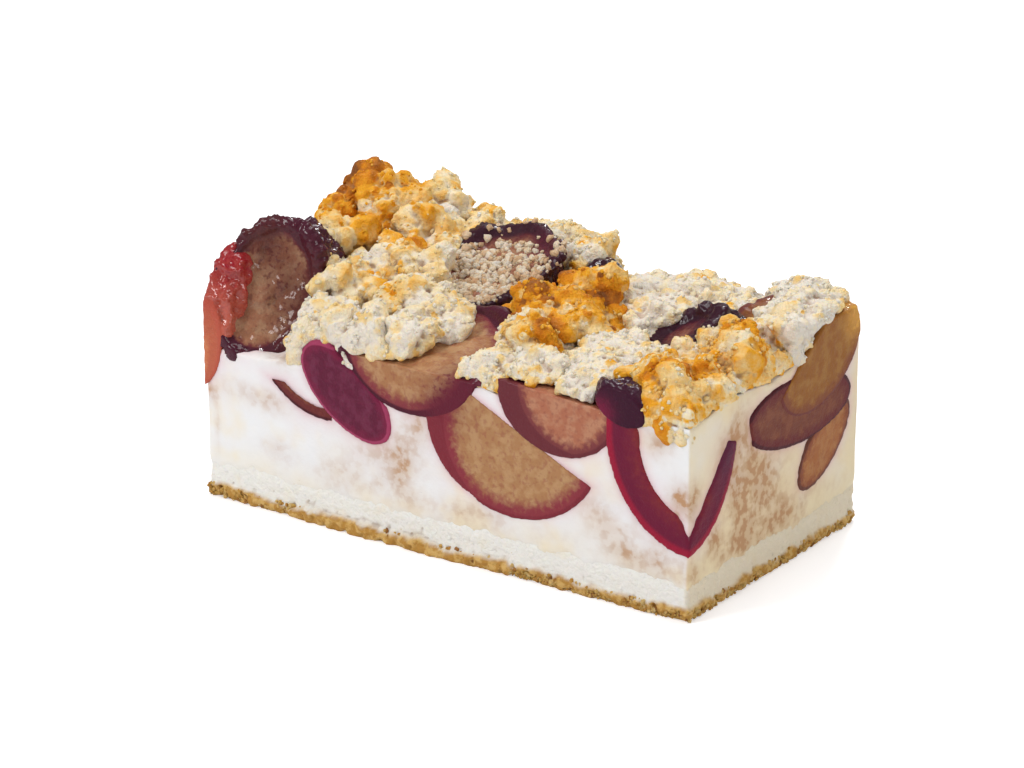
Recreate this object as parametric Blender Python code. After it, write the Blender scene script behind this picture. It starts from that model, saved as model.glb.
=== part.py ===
"""Plum sheet cake: a cut bar of dough, curd filling, baked plum pieces and crumble.

Blender 4.5, metres, +Z up. The origin is at the middle of the underside. The long cut face
looks along -Y and the short cut face beside it looks along +X. Sizes below are millimetres.
"""

import math
import random

import bmesh
import bpy
from mathutils import Euler, Vector

MM = 0.001

# Driving dimensions of the bar
CAKE_LENGTH = 105.0
CAKE_WIDTH = 56.8
DOUGH_THICKNESS = 6.6
CRUMBLE_INSET = 0.2
FIT_GAP = 0.3

# Height of the filling's top at the four corners, and the wave laid over it
TOP_FRONT_LEFT = 28.6
TOP_FRONT_RIGHT = 36.0
TOP_BACK_RIGHT = 37.5
TOP_BACK_LEFT = 37.0
TOP_WAVE = 0.7
TOP_WAVE_LENGTH = 31.0

# Slicing of the slabs, the relief of the dough's cut faces and its ragged foot
SLAB_CELL = 8.6
DOUGH_RELIEF = 0.55
DOUGH_FOOT_RAGGED = 0.8

# Meridians and rings of a plum, and how the crumble's lumps are made
FRUIT_SEGMENTS = 16
FRUIT_RINGS = 8
LUMP_SUBDIVISIONS = 2
CRUMB_SUBDIVISIONS = 1
LUMP_UNEVEN = 0.09
CRUMB_SEAT = 0.92
BED_SPREAD = 1.6
BED_HEIGHT = 3.6
SHARP_ANGLE = math.radians(40)
FAR = 400.0

HALF_LENGTH = CAKE_LENGTH / 2
HALF_WIDTH = CAKE_WIDTH / 2
FILLING_FOOT = DOUGH_THICKNESS + FIT_GAP


def clear_scene():
    """Removes every object of the open file."""
    for obj in list(bpy.data.objects):
        bpy.data.objects.remove(obj)


def collection(name):
    """A new collection under the scene's own."""
    made = bpy.data.collections.new(name)
    bpy.context.scene.collection.children.link(made)
    return made


def material(name, colour, roughness):
    """A plain Principled material."""
    made = bpy.data.materials.new(name)
    made.use_nodes = True
    shader = made.node_tree.nodes["Principled BSDF"]
    shader.inputs["Base Color"].default_value = (*colour, 1.0)
    shader.inputs["Roughness"].default_value = roughness
    shader.inputs["Metallic"].default_value = 0.0
    return made


def object_from(form, name, home):
    """Turns a bmesh in millimetres into a named object in metres."""
    bmesh.ops.scale(form, vec=(MM, MM, MM), verts=form.verts)
    mesh = bpy.data.meshes.new(name)
    form.to_mesh(mesh)
    form.free()
    obj = bpy.data.objects.new(name, mesh)
    home.objects.link(obj)
    return obj


def cut_away(form, point, normal):
    """Cuts off what lies beyond a plane and closes the cut. The form is convex."""
    geometry = form.verts[:] + form.edges[:] + form.faces[:]
    cut = bmesh.ops.bisect_plane(
        form, geom=geometry, plane_co=point, plane_no=normal, clear_outer=True, dist=1e-4
    )
    rim = [item for item in cut["geom_cut"] if isinstance(item, bmesh.types.BMEdge)]
    if rim:
        bmesh.ops.contextual_create(form, geom=rim)


def slice_across(form, axis, half_span, cell):
    """Adds cross cuts at an even spacing along one axis."""
    cells = max(1, round(2 * half_span / cell))
    normal = Vector((0, 0, 0))
    normal[axis] = 1
    for step in range(1, cells):
        point = normal * (-half_span + 2 * half_span * step / cells)
        geometry = form.verts[:] + form.edges[:] + form.faces[:]
        bmesh.ops.bisect_plane(form, geom=geometry, plane_co=point, plane_no=normal, dist=1e-4)


def slab(half_x, half_y, low, high):
    """A closed block between two heights, sliced along X and Y."""
    form = bmesh.new()
    bmesh.ops.create_cube(form, size=1.0)
    bmesh.ops.scale(form, vec=(2 * half_x, 2 * half_y, high - low), verts=form.verts)
    bmesh.ops.translate(form, vec=(0, 0, (low + high) / 2), verts=form.verts)
    slice_across(form, 0, half_x, SLAB_CELL)
    slice_across(form, 1, half_y, SLAB_CELL)
    return form


def filling_top(x, y):
    """Height of the filling's upper surface, before the plums and crumble."""
    across = min(1.0, max(0.0, 0.5 + x / CAKE_LENGTH))
    back = min(1.0, max(0.0, 0.5 + y / CAKE_WIDTH))
    front_height = TOP_FRONT_LEFT + (TOP_FRONT_RIGHT - TOP_FRONT_LEFT) * across
    back_height = TOP_BACK_LEFT + (TOP_BACK_RIGHT - TOP_BACK_LEFT) * across
    wave = math.sin(x * math.tau / TOP_WAVE_LENGTH) * math.cos(y * math.tau / TOP_WAVE_LENGTH)
    return front_height + (back_height - front_height) * back + TOP_WAVE * wave


def topped_slab(low, lift):
    """A block as wide as the filling, whose upper face follows the filling's top plus lift."""
    nominal_top = max(TOP_FRONT_LEFT, TOP_FRONT_RIGHT)
    form = slab(HALF_LENGTH, HALF_WIDTH, low, nominal_top)
    for vertex in form.verts:
        if vertex.co.z > nominal_top - 1e-3:
            vertex.co.z = filling_top(vertex.co.x, vertex.co.y) + lift
    bmesh.ops.triangulate(form, faces=form.faces[:])
    return form


def evaluated_mesh(obj):
    """The object's mesh with its modifiers applied."""
    bpy.context.view_layer.update()
    graph = bpy.context.evaluated_depsgraph_get()
    return bpy.data.meshes.new_from_object(obj.evaluated_get(graph))


def combine(target, others, operation, solver="MANIFOLD"):
    """Applies one Boolean with all the others to the target, then removes the others."""
    if not others:
        return
    group = collection(target.name + "_helpers")
    for other in others:
        for home in list(other.users_collection):
            home.objects.unlink(other)
        group.objects.link(other)
    modifier = target.modifiers.new("Combine", "BOOLEAN")
    modifier.operation = operation
    modifier.solver = solver
    modifier.operand_type = "COLLECTION"
    modifier.collection = group
    mesh = evaluated_mesh(target)
    target.modifiers.clear()
    target.data = mesh
    mesh.name = target.name
    for other in others:
        bpy.data.objects.remove(other)
    bpy.data.collections.remove(group)


def shell_volume(faces):
    """Volume enclosed by a closed set of faces."""
    total = 0.0
    for face in faces:
        first = face.verts[0].co
        for second, third in zip(face.verts[1:], face.verts[2:]):
            total += first.dot(second.co.cross(third.co)) / 6
    return abs(total)


def keep_largest(obj):
    """Drops the loose scraps that a Boolean left beside the main body."""
    form = bmesh.new()
    form.from_mesh(obj.data)
    unseen = set(form.faces)
    shells = []
    while unseen:
        found = {unseen.pop()}
        edge_of_search = list(found)
        while edge_of_search:
            face = edge_of_search.pop()
            for edge in face.edges:
                for near in edge.link_faces:
                    if near in unseen:
                        unseen.remove(near)
                        found.add(near)
                        edge_of_search.append(near)
        shells.append(found)
    shells.sort(key=shell_volume)
    scraps = [face for shell in shells[:-1] for face in shell]
    bmesh.ops.delete(form, geom=scraps, context="FACES")
    form.to_mesh(obj.data)
    form.free()


def finish(obj, look):
    """Gives a node its material and shading."""
    obj.data.materials.clear()
    obj.data.materials.append(look)
    obj.data.shade_smooth()
    obj.data.set_sharp_from_angle(angle=SHARP_ANGLE)


def stretched(form, radii, turn):
    """Scales a unit ball to three radii and turns it about the origin."""
    bmesh.ops.scale(form, vec=radii, verts=form.verts)
    spin = Euler([math.radians(angle) for angle in turn]).to_matrix()
    bmesh.ops.transform(form, matrix=spin.to_4x4(), verts=form.verts)
    return form


def ellipsoid(radii, turn, subdivisions):
    """A turned ellipsoid of even triangles, as a bmesh."""
    form = bmesh.new()
    bmesh.ops.create_icosphere(form, subdivisions=subdivisions, radius=1.0)
    return stretched(form, radii, turn)


def fruit(radii, turn):
    """A turned ellipsoid of meridians and rings with its poles along X, as a bmesh."""
    form = bmesh.new()
    bmesh.ops.create_uvsphere(
        form, u_segments=FRUIT_SEGMENTS, v_segments=FRUIT_RINGS, radius=1.0
    )
    lie_down = Euler((0, math.pi / 2, 0)).to_matrix().to_4x4()
    bmesh.ops.transform(form, matrix=lie_down, verts=form.verts)
    return stretched(form, radii, turn)


class Plum:
    """A piece of baked plum: an ellipsoid fruit with flat flesh cuts, perhaps cupped.

    centre and radii place the whole fruit and turn tilts it, in degrees. Each flesh cut is an
    outward normal and its distance from the centre. A cupped piece is a wall of that thickness.
    """

    def __init__(self, name, centre, radii, turn=(0, 0, 0), flesh=(), wall=None):
        self.name = name
        self.centre = Vector(centre)
        self.radii = Vector(radii)
        self.turn = turn
        self.flesh = [(Vector(normal).normalized(), offset) for normal, offset in flesh]
        self.wall = wall

    def solid(self, name, home, grow=0.0, trimmed=True):
        """The piece as an object, grown by a gap and cut flush with the bar if trimmed."""
        outer = fruit(self.radii + Vector((grow,) * 3), self.turn)
        for normal, offset in self.flesh:
            cut_away(outer, normal * (offset + grow), normal)
        bmesh.ops.translate(outer, vec=self.centre, verts=outer.verts)
        if trimmed:
            trim_to_bar(outer, 0.0)
        obj = object_from(outer, name, home)
        if self.wall is not None:
            hollow = self.radii - Vector((self.wall + grow,) * 3)
            inner = fruit(hollow, self.turn)
            bmesh.ops.translate(inner, vec=self.centre, verts=inner.verts)
            combine(obj, [object_from(inner, name + "_hollow", home)], "DIFFERENCE")
        return obj


def trim_to_bar(form, inset):
    """Cuts a convex form flush with the bar's four knife cuts."""
    for side in (-1, 1):
        x_limit = side * (HALF_LENGTH - inset)
        y_limit = side * (HALF_WIDTH - inset)
        cut_away(form, Vector((x_limit, 0, 0)), Vector((side, 0, 0)))
        cut_away(form, Vector((0, y_limit, 0)), Vector((0, side, 0)))


PLUMS = (
    Plum("plum_corner_cup", (53.5, -29.3, 33.0), (17.8, 15.8, 20.5),
         flesh=[((0.2, 0.2, 1.0), -0.9)], wall=6.4),
    Plum("plum_corner_fold", (38.2, -25.5, 36.4), (5.6, 6.0, 3.4), turn=(0, 18, 20)),
    Plum("plum_front_upper", (25.5, -22.0, 35.3), (14.0, 14.0, 11.5),
         flesh=[((0.06, 0.0, 1.0), 0.6)]),
    Plum("plum_front_lens", (-20.3, -26.0, 26.9), (11.7, 10.5, 6.2), turn=(0, 37, 0),
         flesh=[((0.6, 0.0, 0.8), 4.7)]),
    Plum("plum_front_half", (-6.0, -22.0, 36.8), (15.8, 15.0, 12.0),
         flesh=[((0.0, -0.24, 0.97), -0.6)]),
    Plum("plum_front_large", (15.8, -24.0, 27.6), (19.2, 14.0, 17.0),
         flesh=[((0.425, 0.0, 0.905), 0.7)]),
    Plum("plum_front_sliver", (-25.0, -23.0, 37.3), (18.3, 13.0, 18.3),
         flesh=[((0.0, 0.0, 1.0), -11.3), ((1.0, 0.0, 0.0), 1.5), ((0.0, 1.0, 0.0), 4.0)], wall=1.7),
    Plum("plum_left_red", (-52.2, -25.6, 34.0), (4.2, 4.2, 14.4), turn=(-23, 8, 0)),
    Plum("plum_left_half", (-45.5, -15.3, 36.2), (10.0, 14.0, 15.0), turn=(0, 10, 0),
         flesh=[((0.45, -0.82, 0.36), 7.0)]),
    Plum("plum_back_rim", (-13.0, 6.0, 43.6), (12.0, 14.0, 11.5),
         flesh=[((-0.08, -0.3, 0.95), -1.2)]),
    Plum("plum_right_upper", (47.0, 14.0, 36.0), (13.0, 15.5, 10.0), turn=(14, 0, 0),
         flesh=[((0.0, -0.55, 0.835), 4.2), ((0.0, 0.0, 1.0), 6.4)]),
    Plum("plum_right_dark", (47.0, 7.5, 28.2), (12.0, 20.0, 7.0), turn=(-5, 0, 0),
         flesh=[((0.0, -0.98, -0.2), 16.0)]),
    Plum("plum_right_lower", (46.5, 16.4, 19.0), (11.0, 12.0, 6.0), turn=(34, 0, 0),
         flesh=[((0.0, -0.35, 0.93), 5.0)]),
    Plum("plum_top_small", (33.5, 4.5, 38.0), (8.5, 6.5, 5.0), turn=(8, -12, 35),
         flesh=[((-0.4, -0.3, 0.85), 2.6)]),
    Plum("plum_back_tip", (4.0, 18.0, 39.5), (2.9, 2.9, 4.6), turn=(0, 10, 0)),
    Plum("plum_left_rear", (-48.0, 9.0, 25.0), (11.0, 15.0, 12.0),
         flesh=[((0.0, 0.35, 0.93), 3.0)]),
    Plum("plum_rear_left", (-26.0, 24.0, 24.5), (15.0, 11.0, 12.0),
         flesh=[((-0.4, 0.0, 0.9), 2.0)]),
    Plum("plum_rear_middle", (11.0, 23.5, 26.0), (15.5, 12.0, 14.5),
         flesh=[((0.38, 0.0, 0.92), 2.5)]),
)


class Clump:
    """A clump of crumble: a low bed, mounds over it and a small crumb on each mound.

    centre is the middle of the clump's share of the top and reach the weight of that share.
    Each mound is a centre and three radii. crumb is the radius of the crumbs on the mounds.
    """

    def __init__(self, name, centre, reach, mounds, crumb, seed):
        self.name = name
        self.centre = Vector((*centre, 0.0))
        self.reach = reach
        self.mounds = mounds
        self.crumb = crumb
        self.seed = seed

    def rough(self, radii, place, subdivisions, draw, home):
        """An ellipsoid with an uneven surface."""
        turn = [draw.uniform(0, 360) if subdivisions < LUMP_SUBDIVISIONS else 0 for _ in range(3)]
        form = ellipsoid(radii, turn, subdivisions)
        for vertex in form.verts:
            vertex.co *= 1.0 + draw.uniform(-LUMP_UNEVEN, LUMP_UNEVEN)
        bmesh.ops.translate(form, vec=place, verts=form.verts)
        return object_from(form, f"{self.name}_lump", home)

    def crumb_on(self, mound, draw, home):
        """One small crumb stuck to the upper side of a mound."""
        height = draw.uniform(0.2, 0.9)
        around = draw.uniform(0, math.tau)
        level = math.sqrt(1.0 - height * height)
        direction = (level * math.cos(around), level * math.sin(around), height)
        reach = Vector(d * r for d, r in zip(direction, mound[3:]))
        size = [self.crumb * draw.uniform(0.7, 1.3) for _ in range(3)]
        place = Vector(mound[:3]) + CRUMB_SEAT * reach
        return self.rough(size, place, CRUMB_SUBDIVISIONS, draw, home)

    def cell(self, home):
        """The convex share of the space above the cake that belongs to this clump."""
        form = bmesh.new()
        bmesh.ops.create_cube(form, size=FAR)
        trim_to_bar(form, CRUMBLE_INSET)
        rivals = [(other.centre, other.reach) for other in CLUMPS if other is not self]
        rivals += [(Vector((x, y, 0.0)), reach) for x, y, reach in OPEN_SPOTS]
        for centre, reach in rivals:
            apart = centre - self.centre
            span = apart.length
            share = (span + (self.reach**2 - reach**2) / span) / 2
            direction = apart.normalized()
            cut_away(form, self.centre + direction * (share - FIT_GAP / 2), direction)
        return object_from(form, self.name + "_cell", home)

    def solid(self, home):
        """The fused clump inside its own share of the top."""
        draw = random.Random(self.seed)
        bed_top = filling_top(self.centre.x, self.centre.y)
        bed = (self.reach * BED_SPREAD, self.reach * BED_SPREAD, BED_HEIGHT)
        middle = self.centre + Vector((0, 0, bed_top))
        obj = self.rough(bed, middle, LUMP_SUBDIVISIONS, draw, home)
        obj.name = self.name
        lumps = []
        for mound in self.mounds:
            lumps.append(self.rough(mound[3:], Vector(mound[:3]), LUMP_SUBDIVISIONS, draw, home))
            lumps.append(self.crumb_on(mound, draw, home))
        combine(obj, lumps, "UNION")
        combine(obj, [self.cell(home)], "INTERSECT")
        return obj


# Places where a plum piece stays bare: x, y and reach
OPEN_SPOTS = (
    (-48.0, -17.0, 9.0),
    (-13.5, 6.5, 9.0),
    (0.0, -19.0, 3.0),
    (-3.0, -6.0, 3.5),
    (31.0, 4.5, 4.5),
    (-40.5, -24.5, 6.0),
)

CLUMPS = (
    Clump("crumble_peak", (-43.5, 12.0), 11.0, [
        (-46.0, 15.0, 46.5, 5.0, 5.5, 7.5),
        (-49.5, 8.5, 43.5, 3.8, 5.0, 6.0),
        (-40.5, 12.0, 45.5, 5.5, 6.0, 6.5),
        (-40.5, -0.5, 42.0, 5.5, 5.5, 5.6),
        (-47.0, 22.0, 41.5, 6.0, 5.5, 5.5),
    ], 2.5, 3),
    Clump("crumble_back_left", (-29.5, 17.0), 10.0, [
        (-35.0, 21.0, 43.5, 6.5, 6.5, 6.0),
        (-27.0, 23.0, 41.0, 6.0, 5.0, 5.0),
        (-34.5, 11.0, 42.0, 6.0, 6.0, 6.0),
        (-26.5, 12.5, 40.0, 5.5, 6.0, 5.2),
    ], 2.5, 7),
    Clump("crumble_left_middle", (-28.5, -3.5), 10.0, [
        (-34.0, -8.0, 38.5, 5.5, 5.5, 5.5),
        (-28.0, -0.5, 40.0, 6.5, 6.5, 6.0),
        (-21.5, 1.0, 39.5, 5.5, 6.0, 5.5),
        (-29.5, -12.5, 36.5, 6.0, 5.0, 6.0),
    ], 2.4, 11),
    Clump("crumble_left_front", (-26.0, -22.5), 9.0, [
        (-30.0, -21.0, 34.2, 5.6, 6.4, 5.9),
        (-23.5, -24.0, 34.8, 6.5, 6.0, 5.4),
        (-16.5, -25.0, 36.5, 5.0, 5.0, 4.2),
    ], 2.2, 19),
    Clump("crumble_middle_left", (-13.0, -13.5), 9.0, [
        (-18.5, -11.0, 38.5, 6.0, 6.0, 5.4),
        (-10.0, -12.5, 37.5, 6.5, 5.5, 4.6),
        (-9.0, -22.0, 36.6, 7.0, 6.5, 4.2),
    ], 2.2, 23),
    Clump("crumble_centre", (8.0, 0.5), 9.0, [
        (4.5, -4.0, 40.0, 5.0, 5.5, 6.0),
        (8.5, 5.5, 40.5, 5.5, 5.5, 5.0),
        (12.0, -3.5, 38.5, 6.0, 6.0, 4.8),
    ], 2.5, 29),
    Clump("crumble_centre_front", (13.5, -19.0), 9.5, [
        (9.5, -13.5, 37.8, 5.5, 5.5, 5.0),
        (8.5, -23.5, 35.0, 4.5, 5.0, 4.6),
        (17.0, -22.5, 35.5, 6.5, 6.0, 4.0),
    ], 2.3, 31),
    Clump("crumble_fine_patch", (28.0, -13.0), 10.0, [
        (22.5, -7.5, 37.0, 7.5, 8.0, 2.6),
        (29.5, -16.5, 37.0, 8.0, 8.5, 2.8),
    ], 1.9, 37),
    Clump("crumble_right_lump", (44.0, -20.5), 9.5, [
        (41.0, -20.5, 38.5, 5.2, 5.2, 5.2),
        (47.5, -24.0, 36.5, 5.0, 5.0, 4.4),
        (46.5, -15.0, 37.5, 4.5, 4.5, 4.2),
    ], 2.3, 41),
    Clump("crumble_right_middle", (45.5, -4.0), 9.0, [
        (47.0, -4.5, 39.0, 5.2, 5.2, 5.2),
        (40.5, 3.0, 39.0, 4.2, 4.2, 4.4),
        (39.0, -8.5, 38.0, 5.0, 5.0, 4.2),
    ], 2.3, 43),
    Clump("crumble_right_back", (45.0, 17.0), 11.0, [
        (47.0, 18.0, 41.0, 7.5, 10.0, 4.0),
        (43.5, 24.0, 41.0, 7.5, 6.0, 4.0),
        (48.5, 7.0, 40.0, 5.5, 5.5, 3.8),
    ], 2.0, 47),
    Clump("crumble_back_middle", (22.0, 17.0), 12.0, [
        (14.0, 15.0, 38.0, 7.0, 7.5, 4.2),
        (22.5, 22.0, 38.0, 8.0, 6.5, 4.4),
        (32.0, 19.5, 37.5, 7.5, 7.5, 3.6),
    ], 2.3, 53),
    Clump("crumble_back_centre", (-7.5, 26.5), 6.0, [
        (-11.0, 26.0, 41.5, 7.0, 4.5, 4.4),
        (-1.0, 21.5, 41.0, 5.0, 5.0, 4.6),
        (-5.0, 25.5, 41.5, 4.5, 3.5, 4.0),
    ], 1.9, 59),
)


def build_dough(home):
    """The baked base: a thin slab with a rough cut side and a ragged foot."""
    form = slab(HALF_LENGTH, HALF_WIDTH, 0.0, DOUGH_THICKNESS)
    for height in (0.3, 0.65):
        geometry = form.verts[:] + form.edges[:] + form.faces[:]
        point = Vector((0, 0, DOUGH_THICKNESS * height))
        bmesh.ops.bisect_plane(form, geom=geometry, plane_co=point, plane_no=(0, 0, 1), dist=1e-4)
    draw = random.Random(5)
    widest = DOUGH_THICKNESS * 0.3
    for vertex in form.verts:
        at = vertex.co
        on_side = abs(at.x) > HALF_LENGTH - 1e-3 or abs(at.y) > HALF_WIDTH - 1e-3
        if not on_side or abs(at.z - widest) < 1e-3:
            continue
        inward = draw.uniform(0.0, DOUGH_RELIEF)
        if at.z < 1e-3:
            inward = draw.uniform(0.3, DOUGH_FOOT_RAGGED)
        at.x -= math.copysign(min(inward, abs(at.x)), at.x) * (abs(at.x) > HALF_LENGTH - 1e-3)
        at.y -= math.copysign(min(inward, abs(at.y)), at.y) * (abs(at.y) > HALF_WIDTH - 1e-3)
    bmesh.ops.triangulate(form, faces=form.faces[:])
    return object_from(form, "dough_base", home)


def build_filling(home):
    """The curd filling, with a recess for every plum piece."""
    obj = object_from(topped_slab(FILLING_FOOT, 0.0), "curd_filling", home)
    cutters = [plum.solid(plum.name + "_recess", home, FIT_GAP, False) for plum in PLUMS]
    combine(obj, cutters, "DIFFERENCE")
    keep_largest(obj)
    return obj


def build_plums(home):
    """Every plum piece, each cut back from the pieces named before it."""
    made = []
    for index, plum in enumerate(PLUMS):
        obj = plum.solid(plum.name, home)
        earlier = [
            other.solid(other.name + "_clearance", home, FIT_GAP, False) for other in PLUMS[:index]
        ]
        combine(obj, earlier, "DIFFERENCE")
        keep_largest(obj)
        made.append(obj)
    return made


def build_crumble(home):
    """Every clump of crumble, seated on the filling and round the plums."""
    made = []
    for clump in CLUMPS:
        obj = clump.solid(home)
        seat = topped_slab(DOUGH_THICKNESS, FIT_GAP)
        cutters = [object_from(seat, clump.name + "_seat", home)]
        cutters += [plum.solid(plum.name + "_clearance", home, FIT_GAP, False) for plum in PLUMS]
        combine(obj, cutters, "DIFFERENCE")
        keep_largest(obj)
        made.append(obj)
    return made


def main():
    """Builds the whole cake."""
    clear_scene()
    home = collection("plum_sheet_cake")
    dough_look = material("dough", (0.86, 0.74, 0.52), 0.85)
    curd_look = material("curd", (0.90, 0.86, 0.78), 0.45)
    plum_look = material("plum", (0.24, 0.05, 0.07), 0.30)
    crumble_look = material("crumble", (0.85, 0.64, 0.30), 0.80)
    finish(build_dough(home), dough_look)
    finish(build_filling(home), curd_look)
    for plum in build_plums(home):
        finish(plum, plum_look)
    for clump in build_crumble(home):
        finish(clump, crumble_look)


main()
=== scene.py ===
"""Looks of the plum sheet cake: its dough, curd, baked plums, crumble and loose crumbs.

Blender 4.5, metres, +Z up. Sizes in this file are millimetres unless a name says otherwise.
"""

import logging
import math
from dataclasses import dataclass
from enum import Enum
from typing import Sequence

import bpy
import numpy as np
from mathutils import Euler, Matrix, Vector


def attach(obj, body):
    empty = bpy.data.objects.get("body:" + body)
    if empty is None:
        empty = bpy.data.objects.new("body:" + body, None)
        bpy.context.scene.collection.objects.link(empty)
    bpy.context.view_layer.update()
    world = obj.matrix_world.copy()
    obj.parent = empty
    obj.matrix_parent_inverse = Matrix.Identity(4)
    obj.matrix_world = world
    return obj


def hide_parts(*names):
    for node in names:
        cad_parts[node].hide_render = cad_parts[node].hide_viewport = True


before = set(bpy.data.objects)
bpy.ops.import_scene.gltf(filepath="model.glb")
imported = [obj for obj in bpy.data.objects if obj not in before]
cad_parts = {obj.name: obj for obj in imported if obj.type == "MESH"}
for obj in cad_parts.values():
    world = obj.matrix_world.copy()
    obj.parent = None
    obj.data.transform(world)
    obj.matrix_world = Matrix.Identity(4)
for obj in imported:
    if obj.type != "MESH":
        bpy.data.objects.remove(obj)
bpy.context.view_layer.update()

MM = 0.001
HALF_LENGTH = 52.5
HALF_WIDTH = 28.4
DOUGH_TOP = 6.6
SIDES = ((0, HALF_LENGTH), (1, HALF_WIDTH))
JUICE_ROUGHNESS = 0.09
UNDERSIDE = -0.25
LOG = logging.getLogger("plum_cake")

Colour = tuple[float, float, float]
Triple = tuple[float, float, float]
Array = np.ndarray
Socket = bpy.types.NodeSocket


def hashed(cells: Array, seed: int) -> Array:
    """Turns whole-number cells into even random numbers.

    Args:
        cells: one cell per row, three whole numbers each.
        seed: which of the random fields to read.

    Returns:
        One number from 0 to 1 for each row.
    """
    mixed = cells @ np.array((73856093, 19349663, 83492791), dtype=np.int64)
    for stir in (seed * 374761393 + 668265263, 1274126177, 2246822519):
        mixed = (mixed ^ (mixed >> 15)) * (stir | 1) & 0x7FFFFFFF
    return (mixed ^ (mixed >> 13)) % 65536 / 65535.0


@dataclass(frozen=True)
class SoftNoise:
    """Smooth seeded noise from -1 to 1, with its feature size and number of octaves."""

    size: float
    seed: int = 0
    octaves: int = 1

    def layer(self, points: Array, size: float, seed: int) -> Array:
        """One octave of the noise.

        Args:
            points: places in millimetres, one per row.
            size: feature size of this octave.
            seed: random field of this octave.

        Returns:
            One number from -1 to 1 for each row.
        """
        at = points / size + seed * 7.31
        base = np.floor(at).astype(np.int64)
        part = at - base
        ease = part * part * (3.0 - 2.0 * part)
        total = np.zeros(len(points))
        for corner in np.ndindex(2, 2, 2):
            weight = np.prod(np.where(corner, ease, 1.0 - ease), axis=1)
            total += weight * hashed(base + np.array(corner), seed)
        return total * 2.0 - 1.0

    def at(self, points: Array) -> Array:
        """The noise at some places.

        Args:
            points: places in millimetres, one per row.

        Returns:
            One number, mostly from -1 to 1, for each row.
        """
        total = np.zeros(len(points))
        for octave in range(self.octaves):
            layer = self.layer(points, self.size / 2**octave, self.seed + octave)
            total += layer * 0.55**octave
        return total


@dataclass(frozen=True)
class Pits:
    """Round pits scattered through space, each about as wide as its cell is."""

    size: float
    seed: int = 0
    share: float = 0.5

    def at(self, points: Array) -> Array:
        """How deep in a pit each place lies.

        Args:
            points: places in millimetres, one per row.

        Returns:
            0 outside the pits, and up to 1 at the middle of one, for each row.
        """
        at = points / self.size
        base = np.floor(at).astype(np.int64)
        deepest = np.zeros(len(points))
        for offset in np.ndindex(3, 3, 3):
            cell = base + np.array(offset) - 1
            middle = np.stack([hashed(cell, self.seed + axis) for axis in range(3)], axis=1)
            reach = 0.25 + 0.4 * hashed(cell, self.seed + 3)
            there = hashed(cell, self.seed + 4) < self.share
            apart = np.linalg.norm(cell + middle - at, axis=1)
            deepest = np.maximum(deepest, np.where(there, 1.0 - apart / reach, 0.0))
        return deepest


def ramped(values: Array, low: float, high: float) -> Array:
    """A smooth step: 0 at low, 1 at high, and eased between them."""
    share = np.clip((values - low) / (high - low), 0.0, 1.0)
    return share * share * (3.0 - 2.0 * share)


@dataclass(frozen=True)
class Spot:
    """A spot that fades outwards: its middle, its reach, even or along each axis, and strength."""

    middle: Triple
    reach: float | Triple
    strength: float = 1.0

    def at(self, points: Array) -> Array:
        """The spot's strength at some places, one for each row."""
        apart = (points - np.array(self.middle)) / np.array(self.reach)
        return self.strength * np.exp(-(apart**2).sum(axis=1))


@dataclass(frozen=True)
class FillingTop:
    """Height of the filling's upper surface, before the plums and the crumble."""

    front_left: float = 28.6
    front_right: float = 36.0
    back_right: float = 37.5
    back_left: float = 37.0
    wave: float = 0.7
    wave_length: float = 31.0

    def at(self, points: Array) -> Array:
        """The height over some places.

        Args:
            points: places in millimetres, one per row.

        Returns:
            The height for each row.
        """
        across = np.clip(0.5 + points[:, 0] / (2 * HALF_LENGTH), 0.0, 1.0)
        back = np.clip(0.5 + points[:, 1] / (2 * HALF_WIDTH), 0.0, 1.0)
        front_height = self.front_left + (self.front_right - self.front_left) * across
        back_height = self.back_left + (self.back_right - self.back_left) * across
        turns = math.tau / self.wave_length
        wave = np.sin(points[:, 0] * turns) * np.cos(points[:, 1] * turns)
        return front_height + (back_height - front_height) * back + self.wave * wave


FILLING_TOP = FillingTop()


def deselect_all() -> None:
    """Leaves no object selected."""
    bpy.ops.object.select_all(action="DESELECT")


def link_mesh(name: str, mesh: bpy.types.Mesh) -> bpy.types.Object:
    """Puts a mesh into the scene.

    Args:
        name: the object's name.
        mesh: its mesh.

    Returns:
        The new object, at the origin.
    """
    mesh.name = name
    obj = bpy.data.objects.new(name, mesh)
    bpy.context.scene.collection.objects.link(obj)
    return obj


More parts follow.
